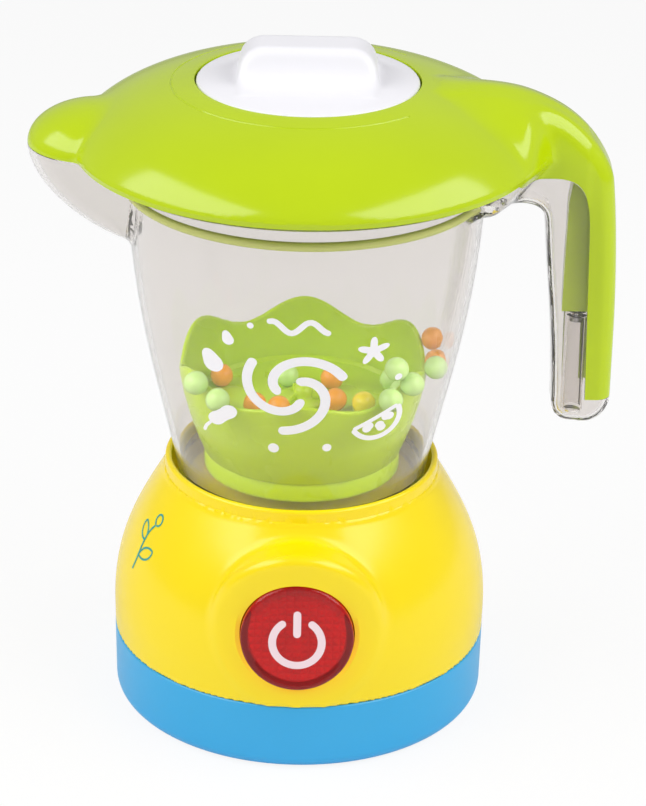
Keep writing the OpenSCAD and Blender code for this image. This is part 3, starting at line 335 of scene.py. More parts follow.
# %% Finishes
def linear(*rgb):
    return tuple(
        c / 255 / 12.92 if c <= 10 else ((c / 255 + 0.055) / 1.055) ** 2.4 for c in rgb
    ) + (1.0,)


def node(tree, kind, **inputs):
    """Adds a shader node and sets its inputs."""
    new = tree.nodes.new("ShaderNode" + kind)
    for socket, value in inputs.items():
        new.inputs[socket.replace("_", " ")].default_value = value
    return new


def math_node(tree, operation, *sources):
    """Adds a math node: a number sets an input, and a socket is linked to it."""
    new = node(tree, "Math")
    new.operation = operation
    for slot, source in zip(new.inputs, sources):
        if isinstance(source, float):
            slot.default_value = source
        else:
            tree.links.new(source, slot)
    return new.outputs[0]


def mixed(tree, share, first, second, out):
    """Mixes two shaders and leads the result to the output's surface."""
    mix = node(tree, "MixShader")
    for slot, source in zip(mix.inputs, (share, first.outputs[0], second.outputs[0])):
        tree.links.new(source, slot)
    tree.links.new(mix.outputs[0], out.inputs["Surface"])


def finish(name, rgb, roughness=0.28, spread=0.06, tint=0.05, ripple=0.03, grain=260.0, **sockets):
    """A moulded plastic or metal: uneven pigment, uneven polish and a fine ripple."""
    material = bpy.data.materials.new(name)
    material.use_nodes = True
    tree = material.node_tree
    join_up = tree.links.new
    shader = tree.nodes["Principled BSDF"]
    place = node(tree, "TexCoord")
    cloud = node(tree, "TexNoise", Scale=grain / 6, Detail=3.0)
    join_up(place.outputs["Object"], cloud.inputs["Vector"])
    pigment = node(tree, "Mix")
    pigment.data_type = "RGBA"
    colour = linear(*rgb)
    for end, gain in (("A", 1 - tint), ("B", 1 + tint / 2)):
        pigment.inputs[end].default_value = tuple(min(1, c * gain) for c in colour[:3]) + (1.0,)
    join_up(cloud.outputs["Fac"], pigment.inputs["Factor"])
    join_up(pigment.outputs["Result"], shader.inputs["Base Color"])
    low, high = max(roughness - spread, 0.0), roughness + spread
    polish = node(tree, "MapRange", To_Min=low, To_Max=high)
    join_up(cloud.outputs["Fac"], polish.inputs["Value"])
    join_up(polish.outputs["Result"], shader.inputs["Roughness"])
    fine = node(tree, "TexNoise", Scale=grain, Detail=2.0)
    join_up(place.outputs["Object"], fine.inputs["Vector"])
    bump = node(tree, "Bump", Strength=ripple, Distance=0.0004)
    join_up(fine.outputs["Fac"], bump.inputs["Height"])
    join_up(bump.outputs["Normal"], shader.inputs["Normal"])
    for socket, value in sockets.items():
        shader.inputs[socket.replace("_", " ")].default_value = value
    return material


def let_lamps_through(material, tint=(0.97, 0.98, 0.975)):
    """Clear plastic throws hardly any shadow, so rays from the lamps pass it straight."""
    tree = material.node_tree
    out, shader = tree.nodes["Material Output"], tree.nodes["Principled BSDF"]
    ray = node(tree, "LightPath")
    pane = node(tree, "BsdfTransparent", Color=tint + (1.0,))
    mixed(tree, ray.outputs["Is Shadow Ray"], shader, pane, out)


yellow_abs = finish("yellow_plastic", (255, 226, 0), 0.22, tint=0.03)
blue_abs = finish("blue_plastic", (46, 172, 230), 0.30, tint=0.04)
lime_abs = finish("lime_plastic", (188, 212, 2), 0.17, spread=0.04, tint=0.04)
lime_bowl = finish("lime_bowl_plastic", (192, 222, 14), 0.28, tint=0.04)
white_abs = finish("white_plastic", (243, 242, 247), 0.36, tint=0.02)
print_white = finish("white_print", (248, 246, 250), 0.55, tint=0.02, ripple=0.05, grain=900)
natural_pom = finish("gear_plastic", (236, 233, 222), 0.45, tint=0.03)
black_abs = finish("black_plastic", (38, 38, 41), 0.5, ripple=0.08)
steel = finish("steel", (196, 199, 203), 0.3, Metallic=1.0)
brass = finish("brass", (206, 168, 92), 0.3, Metallic=1.0)
board = finish("circuit_board", (40, 118, 62), 0.42)
lamp_cap = finish("lamp_plastic", (246, 240, 226), 0.3)
cell_wrap = finish("cell_wrap", (52, 66, 84), 0.3)
pearl_green = finish("pearl_green", (204, 240, 146), 0.24, tint=0.08, grain=600)
pearl_orange = finish("pearl_orange", (255, 166, 38), 0.24, tint=0.08, grain=600)
pearl_yellow = finish("pearl_yellow", (255, 228, 36), 0.24, tint=0.08, grain=600)
clear_ps = finish(
    "clear_plastic", (241, 238, 236), 0.02, spread=0.012, tint=0.01, ripple=0.012,
    Transmission_Weight=0.97, IOR=1.28,
)
red_clear = finish(
    "red_clear_plastic", (232, 40, 40), 0.08, spread=0.03, tint=0.05, ripple=0.01,
    Transmission_Weight=0.8, IOR=1.4,
)
let_lamps_through(clear_ps)
let_lamps_through(red_clear, (0.86, 0.2, 0.2))
red_prism = finish("red_prism_plastic", (224, 24, 28), 0.1, spread=0.04, tint=0.1, ripple=0.0)
# The bead's light yellow-green is a painted reflection of the lime lid seen through the clear bead.
painted_reflection_bead = finish(
    "bead_painted_reflection_plastic", (236, 240, 150), 0.12, spread=0.03, tint=0.03, ripple=0.01,
    Transmission_Weight=0.35, IOR=1.3,
)
print("finishes:", len(bpy.data.materials))


def dress(piece, material, body, replaced=(), angle=35):
    """Gives a finished piece its material, shading, body and the solids it stands for."""
    piece.data.materials.clear()
    piece.data.materials.append(material)
    smooth(piece, angle)
    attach(piece, body)
    if replaced:
        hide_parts(*replaced)
    print(piece.name, len(piece.data.polygons), "faces")
    return piece


# %% [markdown]
# Parts of a toy fit each other, so the heights where two of them meet are written down once. The
# button leans back by five degrees, so it has a frame of its own.

# %% Sizes shared by the mouldings, in millimetres
SEAM_Z = 25.0
WELL_Z = 78.0
JUG_FOOT = 78.3
JUG_FLOOR = 86.5
RIM_Z = 203.3
POST_AT = (93.2, 0)
LID_EDGE = 203.4
KNOB_EDGE = 226.4
WALL = 1.8
BUTTON_AT = np.array([0.0, -65.6, 52.0])
BUTTON_LEAN = math.radians(85)


def to_button(piece):
    """Stands a piece that was turned upright in the button's own frame, facing out of the base."""
    p = points_of(piece)
    c, s = math.cos(BUTTON_LEAN), math.sin(BUTTON_LEAN)
    leaning = np.column_stack((p[:, 0], p[:, 1] * c - p[:, 2] * s, p[:, 1] * s + p[:, 2] * c))
    place_points(piece, leaning + BUTTON_AT)
    return piece


def in_button_frame(p):
    q = p - BUTTON_AT
    c, s = math.cos(BUTTON_LEAN), math.sin(BUTTON_LEAN)
    return q[:, 0], q[:, 1] * c + q[:, 2] * s, -q[:, 1] * s + q[:, 2] * c


# %% [markdown]
# ## The base
# The tray is a shallow turned dish in blue, with a recess underneath, a door for the cells, the
# holes of the loudspeaker and the slot of the switch. A spun outline gives the dish, and Booleans
# cut the holes, because that leaves their edges as crisp as the mould does.

# %% The tray
tray = turned(
    "tray_moulding",
    [
        line((0, 0.8), (56.1, 0.8), (56.5, 0.0), (60.1, 0.0)),
        arc((60.1, 5.0), 5.0, -90, 0, 10),
        line((65.25, 15.0), (65.4, SEAM_Z - 0.5), (65.1, SEAM_Z - 0.1), (63.0, SEAM_Z - 0.1)),
        line((62.9, 8.0)),
        arc((59.7, 6.4), 3.2, 0, -90, 5),
        line((0, 3.2)),
    ],
)
door_hole = block("door_hole", -26.2, -1, 28.6, 4, -11.4, 34.6)
tab_hole = block("tab_hole", 28.5, -1, 42.0, 2.99, 4.6, 18.6)
slot_well = block("slot_well", 29.6, -1, 39.6, 2.0, -28.0, -14.0)
slot_hole = block("slot_hole", 32.1, -2, 37.1, 4.5, -25.8, -16.2)
for tool in (door_hole, tab_hole, slot_well, slot_hole):
    cut(tray, tool)
grille = [(0.0, -30.5)]
for ring, count in ((4.5, 6), (9.0, 12)):
    for i in range(count):
        a = 2 * math.pi * i / count
        grille.append((ring * math.cos(a), -30.5 + ring * math.sin(a)))
for x, y in grille:
    cut(tray, drum("grille_hole", 1.2, -1, 5, (x, y), 20))
for a in (40, 140, 220, 320):
    x, y = 53 * math.cos(math.radians(a)), 53 * math.sin(math.radians(a))
    cut(tray, drum("screw_well", 2.9, -1, 5, (x, y), 32))
dress(tray, blue_abs, "base", ["base_tray"])

# %% [markdown]
# The housing is a turned shoulder with a round boss for the button. The two are joined into one
# skin and settled, so the boss has the soft edge of the moulding. The well and the button's bore
# are cut afterwards.

# %% The housing's skin, with its boss
SHOULDER = curve((65.5, 34), (65.5, 56), (58.2, 68), (48.4, 84.5), 40)
shoulder_outline = Outline(
    [line((-20, SEAM_Z), (65.3, SEAM_Z)), SHOULDER, line((48.0, 86.0), (-20, 86.0))]
)
BOSS_R = 30.0


def housing_form(p):
    radius = np.hypot(p[:, 0], p[:, 1])
    body = shoulder_outline(radius, p[:, 2])
    x, y, out = in_button_frame(p)
    ring = np.hypot(x, y) - BOSS_R
    front = radius - 65.55
    boss = np.maximum(round_meet(ring, front, 3.2), -out - 26)
    joined = soft_union(body, boss, 2.4)
    return np.maximum(joined, SEAM_Z - p[:, 2])


shoulder = turned(
    "shoulder_rough",
    [line((0, SEAM_Z), (65.3, SEAM_Z)), SHOULDER, line((48.0, 86.0), (0, 86.0))],
    steps=96,
)
boss = to_button(drum("boss_rough", BOSS_R - 0.5, -24, -1.5))
housing = skin("housing_moulding", [shoulder, boss], housing_form, 1.1)
# a flat foot for the seam: everything below it is cut off square
cut(housing, drum("seam_cut", 90, 10, SEAM_Z + 0.15))
collar = turned(
    "collar",
    [
        line((44.0, 81.0), (49.0, 81.0), (47.75, 84.6), (47.55, 88.6)),
        arc((46.4, 88.9), 1.15, 0, 180, 10),
        line((44.0, 86.0)),
    ],
)
cut(housing, collar, "UNION")
hollow_top = curve((63.3, 34), (63.3, 55), (56.0, 66), (50.2, 75.2), 20)
hollow = turned("hollow", [line((0, 20), (63.3, 20)), hollow_top, line((0, 75.6))])
cut(housing, hollow)
boss_hollow = to_button(drum("boss_hollow", 27.6, -30, -3.2))
cut(boss_hollow, drum("boss_hollow_trim", 63.3, 20, 90), "INTERSECT")
cut(housing, boss_hollow)
well = turned("well", [line((0, WELL_Z), (44.8, WELL_Z), (45.3, 88.9), (45.6, 95), (0, 95))])
cut(housing, well)
cut(housing, drum("shaft_bore", 3.5, 70, 82, sides=48))
sleeve = to_button(
    turned("sleeve", [line((19.4, -6.4), (21.0, -6.4), (21.0, -2.5), (19.4, -2.5))])
)
cut(housing, sleeve, "UNION")
cut(housing, to_button(drum("button_bore", 19.4, -12, 12)))
dress(housing, yellow_abs, "base", ["base_housing"], angle=40)
print("housing box", points_of(housing).min(0).round(2), points_of(housing).max(0).round(2))

# %% [markdown]
# ## The button
# A shallow cup of clear red plastic with a raised rounded rim. It is spun from its outline and
# then leant back with the button's frame.

# %% The button's cap
cap = to_button(
    turned(
        "button_lens",
        [
            line((0, -2.6), (17.2, -2.6), (17.3, -8.0), (20.5, -8.0), (20.5, -6.6), (19.1, -6.5)),
            line((19.1, -2.0)),
            arc((17.7, 0.0), 1.4, 0, 90, 8),
            line((16.9, 1.3), (16.0, 0.85), (15.4, 0.75)),
            line((8.0, 1.05), (0, 1.15)),
        ],
    )
)
dress(cap, red_clear, "button", ["button_cap"])

# %% [markdown]
# Under the button's face lies a plate of small square prisms that sparkle when the lamps light up.
# Poking the faces of a grid raises a point in the middle of each, which is just such a prism.

# %% The plate of prisms
prisms = primitive("button_prisms", "grid", x_subdivisions=13, y_subdivisions=13, size=34.4 * MM)
with editing(prisms):
    bpy.ops.mesh.poke(offset=0.85 * MM)
place_points(prisms, points_of(prisms) - (0, 0, 4.1))
apply(prisms, "SOLIDIFY", thickness=0.7 * MM, offset=-1)
prisms = cut(prisms, drum("prism_trim", 17.0, -9, 0), "INTERSECT")
stem = drum("button_stem", 3.0, -10.0, -4.4, sides=48)
cut(prisms, stem, "UNION")
to_button(prisms)
dress(prisms, red_prism, "button", angle=10)

# %% [markdown]
# A steel spring stands between the circuit board and the plate of prisms. It is a small circle
# wound up by the Screw modifier.

# %% The spring behind the prisms
SPRING_BACK, SPRING_FRONT = -16.5, -5.4
SPRING_TURNS, SPRING_R, WIRE_R = 5, 9, 0.4
spring = primitive("press_spring", "circle", vertices=10, radius=WIRE_R * MM)
wire = points_of(spring)
place_points(
    spring, np.column_stack((SPRING_R + wire[:, 0], 0 * wire[:, 0], SPRING_BACK + wire[:, 1]))
)
pitch = (SPRING_FRONT - SPRING_BACK) / SPRING_TURNS
apply(
    spring, "SCREW", axis="Z", steps=28, render_steps=28, iterations=SPRING_TURNS,
    screw_offset=pitch * MM, use_normal_calculate=True,
)
with editing(spring):
    bpy.ops.mesh.fill_holes(sides=0)
to_button(outward(spring))
dress(spring, steel, "base", ["button_spring"])
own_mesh(spring)

# %% [markdown]
# ## The jug
# One clear moulding: a flared wall, a scoop for the spout and the inner half of the handle. The
# wall is a turned form. The scoop narrows to a keel, and the handle is a bar with rounded edges
# that widens where it leaves the wall. All three are settled into one skin, outside and inside,
# and the wall of 1.8 mm is what lies between the two skins.

# %% Formulas of the jug, its spout and its handle
JUG_SIDE = curve((42.0, JUG_FOOT), (47.0, 112.05), (60.5, 143.3), (60.5, RIM_Z), 60)
SPOUT_REACH = 93.3
SPOUT_R = 23.0
SPOUT_DROP = 35.0
SPOUT_FLOOR = 168.4
BRIDGE_Z = 187.6
KEEL = curve((-93.3, RIM_Z), (-92.9, 191.75), (-78.3, 176.7), (-57.5, 168.3), 40)


def jug_radius(z, inset=0.0):
    return np.interp(z, JUG_SIDE[:, 1], JUG_SIDE[:, 0]) - inset


jug_outline = Outline(
    [line((-20, 84.7), (42.4, 84.7)), JUG_SIDE[4:], line((60.5, 230), (-20, 230))]
)


def spout_form(p):
    z = np.clip(p[:, 2], SPOUT_FLOOR, RIM_Z)
    tip = np.interp(z, KEEL[::-1, 1], KEEL[::-1, 0])
    fall = (RIM_Z - z) / SPOUT_DROP
    half = SPOUT_R * np.sqrt(np.clip(1 - fall**2, 0.03, 1))
    centre = tip + half
    across = np.where(
        p[:, 0] < centre, np.hypot(p[:, 0] - centre, p[:, 1]), np.abs(p[:, 1])
    )
    side = across - half
    scoop = round_meet(side * 0.85, SPOUT_FLOOR - p[:, 2], 1.0)
    # the scoop ends inside the jug, short of the handle
    return np.maximum(scoop, p[:, 0] + 20.0)


HANDLE_OUT = np.vstack(
    [
        curve((46, 224.6), (62, 227.0), (91, 224.5), (102.1, 197.8), 30),
        curve((102.6, 195.8), (104.6, 179.6), (105.6, 157.6), (105.6, 136.5), 14),
        arc((95.6, 116.5), 10.0, 0, -80, 10),
    ]
)
HANDLE_IN = np.vstack(
    [
        line((46, BRIDGE_Z), (66, BRIDGE_Z), (70.6, BRIDGE_Z)),
        arc((72.1, 179.1), 8.5, 90, 10, 10),
        curve((81.0, 175.6), (82.6, 153.6), (84.6, 146.5), (85.6, 116.5), 16),
        arc((91.6, 113.1), 6.0, 180, 260, 8),
    ]
)
HANDLE_SIDE = [HANDLE_OUT, HANDLE_IN[::-1]]
handle_outline = Outline(HANDLE_SIDE)
HALF_GRIP = 10.5


def bar_form(p):
    side = handle_outline(p[:, 0], p[:, 2])
    return round_meet(side, np.abs(p[:, 1]) - HALF_GRIP, 5.5)


def crown(x):
    return np.interp(x, HANDLE_OUT[:31, 0], HANDLE_OUT[:31, 1])


def fairing_form(p):
    """The part of the handle that spreads out where it leaves the jug and the lid."""
    x, y, z = p.T
    top = crown(x)
    lean = x - 0.8 * (np.clip(z, 180, 203.5) - 187.5)
    half = 9.0 + 18.5 * ease((72.0 - lean) / 14.0)
    rise = np.clip((z - 200.5) / np.maximum(top - 200.5, 1.0), 0, 0.995)
    half = half * np.sqrt(1 - rise**2.4)
    side = (np.abs(y) - half) * 0.75
    wing = round_meet(round_meet(side, BRIDGE_Z - z, 3.0), z - top, 2.0)
    return np.maximum(np.maximum(wing, x - 92), 46 - x)


def handle_form(p):
    return soft_union(bar_form(p), fairing_form(p), 4.0)


def vessel_form(p):
    """The wall and the spout alone."""
    wall = jug_outline(np.hypot(p[:, 0], p[:, 1]), p[:, 2])
    return soft_union(wall, spout_form(p), 3.0)


def jug_form(p):
    return soft_union(vessel_form(p), handle_form(p), 3.5)


# %% [markdown]
# A skin needs rough pieces near its final shape. They are made as functions of an inset, so that
# the same pieces serve for the outside and, drawn in by the wall, for the inside.

# %% Rough pieces of the jug
def rough_vessel(inset, top):
    wall = turned(
        "wall_rough",
        [
            line((0, 84.7 + inset), (42.4 - inset, 84.7 + inset)),
            JUG_SIDE[5:] - (inset, 0),
            line((60.5 - inset, top), (0, top)),
        ],
        steps=96,
    )
    scoop = slab(
        "scoop_rough",
        [KEEL + (inset + 1.0, inset), line((-40, 170), (-40, top), (-93.3 + inset, top))],
        -SPOUT_R * 0.7 + inset,
        SPOUT_R * 0.7 - inset,
    )
    return [wall, scoop]


def rough_handle(inset):
    bar = slab("bar_rough", HANDLE_SIDE, -HALF_GRIP + inset, HALF_GRIP - inset)
    wing_side = line((52, 190), (66, 190), (74, 203), (70, 214), (52, 218))
    return [bar, slab("wing_rough", wing_side, -20 + inset, 20 - inset)]


# %% [markdown]
# The jug is hollow, so the outside is settled first and the inside is then cut out of it. The grip
# is hollow too, and stops at the jug's wall.

# %% The jug's wall between two skins
jug = skin("jug_moulding", rough_vessel(0, 216) + rough_handle(0), jug_form, 1.5)
cover_edge = np.vstack(
    [
        line((30, 197.1), (82.6, 197.1)),
        curve((82.6, 197.1), (92.6, 197.1), (94.6, 191.1), (95.0, 177.1), 12),
        line((96.6, 116.5), (120, 116.5), (120, 250), (30, 250)),
    ]
)


def lid_zone(play):
    """Where the lime moulding may be: above the rim, and outside the line that splits the grip."""
    split = slab("cover_zone", cover_edge + (play, play), -40, 40)
    return cut(split, drum("rim_keep", 74.6 + play, 150, RIM_Z + play))


cut(jug, lid_zone(0))
cut(jug, drum("rim_cut", 140, RIM_Z, 300))
inside = skin("jug_inside", rough_vessel(WALL, 216), lambda q: vessel_form(q) + WALL, 1.5)
cut(jug, inside)
grip_inside = skin("grip_inside", rough_handle(WALL), lambda q: handle_form(q) + WALL, 1.5)
grip_wall = turned(
    "grip_wall", [line((0, 150), (60.0, 150), (60.5, 190), (60.5, 240), (0, 240))], steps=128
)
cut(grip_inside, grip_wall)
cut(jug, grip_inside)
print("jug", len(jug.data.polygons), "faces")

# %% [markdown]
# The handle's screw post stands inside the grip, and a bead runs round the jug below its rim. The
# jug's rim ends in a flange that the lid lies on.

# %% Post, bead, flange and foot of the jug
post = drum("post", 4.6, 109.8, 146.4, POST_AT, 48)
post_trim = slab("post_trim", line((84.9, 100), (96.4, 100), (96.4, 150), (84.0, 150)), -8, 8)
cut(post, post_trim, "INTERSECT")
cut(jug, post, "UNION")
flange = turned(
    "flange",
    [line((59, 201.4), (74.2, 201.4), (74.6, 201.8), (74.6, 203.0), (74.3, RIM_Z), (59, RIM_Z))],
)
bead = turned("bead", [arc((60.2, 190.8), 1.5, 0, 330, 16)])
# both rings stop at the mouth of the spout
for ring in (flange, bead):
    cut(ring, drum("mouth_round", SPOUT_R - WALL, 180, 210, (-SPOUT_REACH + SPOUT_R, 0)))
    cut(ring, block("mouth", -70.3, 180, -40, 210, WALL - SPOUT_R, SPOUT_R - WALL))
    cut(jug, ring, "UNION")
foot = turned(
    "foot",
    [
        line((0, 84.7), (41.0, 84.7), (40.4, 79.0), (41.2, JUG_FOOT), (41.6, JUG_FOOT)),
        JUG_SIDE[1:7],
        line((0, JUG_FLOOR)),
    ],
)
cut(jug, foot, "UNION")
cut(jug, drum("bush_bore", 4.02, 80, 90, sides=64))
cut(jug, drum("post_bore", 3.1, 104, 144.1, POST_AT, 48))
cut(jug, drum("screw_bore", 1.5, 140, 150, POST_AT, 24))
dress(jug, clear_ps, "jug", ["jug_shell"])
# A thin ring over the bead, tinted light yellow-green: a painted reflection of the lime lid seen
# through it.
painted_reflection_ring = turned("bead_ring", [arc((60.3, 190.8), 1.56, 0, 337.5, 15)], steps=144)
cut(painted_reflection_ring, block("bead_mouth", -80, 180, -40, 200, -21, 21))
cut(painted_reflection_ring, block("bead_grip", 40, 180, 80, 200, -13, 13))
dress(painted_reflection_ring, painted_reflection_bead, "jug")

# %% [markdown]
# ## The lid
# One lime moulding: a low dome, the hood over the spout and the outer half of the handle. The
# hood is half an ellipsoid that meets the dome in a crisp fillet, and the cover of the handle
# flows out of the dome. The lower part of the cover is a bar of its own, so the two are settled
# apart and then joined.

# %% The lid's outside and inside
DOME = curve((78.6, 205.6), (75.4, 213.0), (61.6, 222.8), (38.7, KNOB_EDGE), 40)
dome_outline = Outline(
    [line((-20, 192), (77.9, 192), (77.9, 203.4), (78.5, 205.0)), DOME, line((-20, 226.6))]
)
HOOD_AT, HOOD_SIZE = (-70.0, 0.0, 203.5), (23.3, 22.8, 13.5)


def hood_form(p, inset=0.0):
    q = (p - HOOD_AT) / (np.array(HOOD_SIZE) - inset)
    q[:, 2] = np.maximum(q[:, 2], 0)
    length = np.sqrt((q**2).sum(1))
    slope = np.sqrt(((q / (np.array(HOOD_SIZE) - inset)) ** 2).sum(1)) / np.maximum(length, 1e-6)
    return (length - 1) / np.maximum(slope, 1e-3)


def lid_form(p):
    dome = dome_outline(np.hypot(p[:, 0], p[:, 1]), p[:, 2])
    return soft_union(soft_union(dome, hood_form(p), 2.2), handle_form(p), 5.0)


def lid_inside_form(p):
    dome = dome_outline(np.hypot(p[:, 0], p[:, 1]), p[:, 2]) + 2.0
    return soft_union(soft_union(dome, hood_form(p, 2.0), 2.0), handle_form(p) + 2.0, 5.0)


def rough_lid(inset):
    dome = turned(
        "dome_rough",
        [
            line((0, 192), (77.9 - inset, 192), (77.9 - inset, 203.4)),
            DOME - (inset, inset),
            line((0, 226.4 - inset)),
        ],
        steps=96,
    )
    hood = primitive("hood_rough", "uv_sphere", segments=48, ring_count=24, radius=MM)
    hood_points = points_of(hood) * (np.array(HOOD_SIZE) - inset) + HOOD_AT
    hood_points[:, 2] = np.where(
        hood_points[:, 2] < HOOD_AT[2], 192 + (hood_points[:, 2] - 190) * 0.01, hood_points[:, 2]
    )
    place_points(hood, hood_points)
    return [dome, hood] + rough_handle(inset)


upper = skin("lid_upper", rough_lid(0), lid_form, 1.15)
upper_inside = skin("lid_upper_inside", rough_lid(2.0), lid_inside_form, 1.4)
cut(upper, upper_inside)
cut(upper, drum("below_rim", 140, 90, LID_EDGE + 0.05))
print("upper part", len(upper.data.polygons), "faces")

# %% [markdown]
# The cover runs on down the handle as a shell that is open towards the jug. It is cut along the
# line that splits the grip, and then joined to the dome.

# %% The lower part of the handle's cover
cover = skin("cover_moulding", rough_handle(0), handle_form, 1.15)
cover_inside = skin("cover_inside", rough_handle(2.0), lambda q: handle_form(q) + 2.0, 1.4)
cut(cover, cover_inside)
cut(cover, lid_zone(0.1), "INTERSECT")
cut(cover, drum("above_rim", 140, 204.4, 260))
lid = cut(upper, cover, "UNION")
lid.name = lid.data.name = "lid_moulding"

# %% [markdown]
# The knob turns in a shallow well. A skirt keeps the lid centred in the jug, a rib takes the screw
# of the handle, and a fine crease runs round the dome. All are small, so they are plain Booleans.

# %% Seat of the knob, skirt, rib and crease
SEAT_Z = 221.8
KNOB_WELL_R = 37.7
seat = turned(
    "seat",
    [
        line((0, SEAT_Z - 2.2), (KNOB_WELL_R + 1.6, SEAT_Z - 2.2), (KNOB_WELL_R + 1.6, 225.0)),
        line((KNOB_WELL_R - 0.6, 225.0), (KNOB_WELL_R - 0.6, SEAT_Z), (0, SEAT_Z)),
    ],
)
cut(lid, drum("well_mouth", KNOB_WELL_R, SEAT_Z, 240))
cut(lid, seat, "UNION")
cut(lid, drum("well_clear", KNOB_WELL_R, SEAT_Z, 240))
skirt = turned(
    "skirt",
    [
        line((56.8, 197.3), (58.4, 197.3), (58.4, 203.45), (77.1, 203.45), (77.1, 205.2)),
        line((58.4, 205.2), (58.4, 218.5), (56.8, 219.0)),
    ],
)
cut(skirt, drum("spout_mouth", 20.2, 190, 205.6, (-70, 0)))
cut(skirt, block("skirt_mouth", -70, 190, -50, 205.6, -15, 15))
cut(lid, skirt, "UNION")
rib_side = line(
    (87.6, 146.7), (98.2, 146.7), (103.4, 170), (101.5, 190), (98, 199), (90, 199), (88.2, 186)
)
rib = slab("rib", rib_side, -3.6, 3.6)
cut(lid, rib, "UNION")
cut(lid, drum("rib_bore", 1.3, 140, 158, POST_AT, 24))
cut(lid, drum("spindle_bore", 5.05, 215, 230, sides=48))
crease_z = float(np.interp(-45.5, -DOME[:, 0], DOME[:, 1]))
crease = turned("crease", [arc((45.5, crease_z + 0.25), 0.5, 0, 330, 11)])
cut(crease, block("crease_end", 33, 200, 60, 240, -60, 60))
cut(lid, crease)
dress(lid, lime_abs, "jug", ["lid"], angle=30)

# %% [markdown]
# ## The knob
# A shallow disc with a rounded edge and a bar across it to turn it by. The bar's ends are steep
# and its long sides flow out into the disc in a wide fillet.

# %% Knob
knob_outline = Outline(
    [
        line((-20, 221.9), (36.4, 221.9), (37.2, 222.7)),
        arc((36.0, 225.4), 1.2, 0, 80, 6),
        curve((32.2, 227.3), (25.2, 228.0), (20.0, 228.5), (0, 228.6), 12),
        line((-20, 228.6)),
    ],
    step=0.25,
)
bar_front = Outline(
    [
        line((-23.6, 224), (-23.4, 229.5)),
        curve((-22.9, 232.0), (-22.0, 236.5), (-19.5, 238.9), (-15.0, 239.4), 8),
        curve((14.6, 239.4), (19.3, 238.9), (21.8, 236.5), (22.7, 232.0), 8),
        line((23.2, 229.5), (23.4, 224)),
    ],
    step=0.25,
)
bar_end = Outline(
    [
        line((-23.0, 224.0)),
        curve((-21.0, 227.6), (-12.2, 228.4), (-10.6, 231.5), (-8.4, 238.2), 10),
        line((-7.9, 242.0), (7.9, 242.0)),
        curve((8.4, 238.2), (10.6, 231.5), (12.2, 228.4), (21.0, 227.6), 10),
        line((23.0, 224.0)),
    ],
    step=0.25,
)


def knob_form(p):
    disc = knob_outline(np.hypot(p[:, 0], p[:, 1]), p[:, 2])
    bar = round_meet(bar_front(p[:, 0], p[:, 2]), bar_end(p[:, 1], p[:, 2]), 2.6)
    return soft_union(disc, bar, 1.6)


disc_side = line((0, 221.9), (37.0, 221.9), (37.0, 226), (32.2, 227.3), (0, 228.6))
disc = turned("disc_rough", [disc_side], steps=96)
bar_side = line((-22.5, 224), (-22.0, 236), (-17, 239), (17, 239), (22, 236), (22.5, 224))
bar = slab("knob_bar", bar_side, -9, 9)
knob = skin("knob_moulding", [disc, bar], knob_form, 0.85)
under = turned("knob_under", [line((7.4, 220), (35.0, 220), (35.0, 224.1), (7.4, 224.1))])
cut(knob, under)
cut(knob, drum("spindle", 5.0, 217.3, 223.0, sides=64), "UNION")
cut(knob, drum("knob_pilot", 1.3, 216, 225.2, sides=24))
dress(knob, white_abs, "knob", ["knob"], angle=32)
print("knob box", points_of(knob).min(0).round(2), points_of(knob).max(0).round(2))

# %% [markdown]
# ## The bowl, its rotor and the balls
# The bowl is turned with a straight rim, and its wall is then stretched so that the rim follows a
# wave of six crests, lower at the front. Moving the points keeps the wall equally thick all round.

# %% Bowl
BOWL_FLOOR = 109.5
BOWL_RIM = 126.3
WAVE = 7.5


def crest(a):
    return 1 - 0.58 * np.maximum(0, -np.sin(a)) ** 2.2


def wave_z(a):
    middle = (np.floor(a * 6 / (2 * math.pi)) + 0.5) * math.pi / 3
    return BOWL_RIM - WAVE / 2 + WAVE * crest(middle) * (1 - np.cos(6 * a)) / 2


BOWL_SIDE = curve((34.4, 94.1), (38.6, 104.5), (42.4, 114.5), (43.6, 131.05), 36)
STRETCH_FROM = 113.0
rim_top = BOWL_SIDE[-1]
bowl = turned(
    "bowl_moulding",
    [
        line((31.2, 86.5), (33.7, 86.5), (34.0, 86.8), (34.0, 92.9), (33.6, 93.5), (33.5, 93.9)),
        BOWL_SIDE[:-1],
        arc((42.7, 131.0), 0.9, 0, 180, 8),
        BOWL_SIDE[-2:16:-1] - (1.8, 0),
        line((36.9, BOWL_FLOOR + 1.2), (35.6, BOWL_FLOOR), (0, BOWL_FLOOR), (0, BOWL_FLOOR - 1.8)),
        BOWL_SIDE[14:0:-1] - (1.8, 0),
        line((31.2, 93.0)),
    ],
    steps=180,
)
q = points_of(bowl)
angle = np.arctan2(q[:, 1], q[:, 0]) % (2 * math.pi)
share = np.clip((q[:, 2] - STRETCH_FROM) / (rim_top[1] - STRETCH_FROM), 0, None)
new_z = STRETCH_FROM + share * (wave_z(angle) - STRETCH_FROM)
new_z = np.where(q[:, 2] > rim_top[1] - 0.1, wave_z(angle) + q[:, 2] - rim_top[1], new_z)
new_z = np.where(q[:, 2] > STRETCH_FROM, new_z, q[:, 2])
side = lambda z: np.interp(z, BOWL_SIDE[:, 1], BOWL_SIDE[:, 0])
radius = np.hypot(q[:, 0], q[:, 1])
spread_r = (radius + side(new_z) - side(q[:, 2])) / np.maximum(radius, 1)
q[:, :2] *= np.where(q[:, 2] > STRETCH_FROM, spread_r, 1)[:, None]
q[:, 2] = new_z
place_points(bowl, q)
for a in (90, 210, 330):
    x, y = 22 * math.cos(math.radians(a)), 22 * math.sin(math.radians(a))
    cut(bowl, drum("bowl_post", 3.0, 86.5, 108.0, (x, y), 32), "UNION")
cut(bowl, drum("bowl_tube", 4.0, 100.5, 108.0, sides=32), "UNION")
cut(bowl, drum("bowl_bore", 2.05, 95, 112, sides=32))
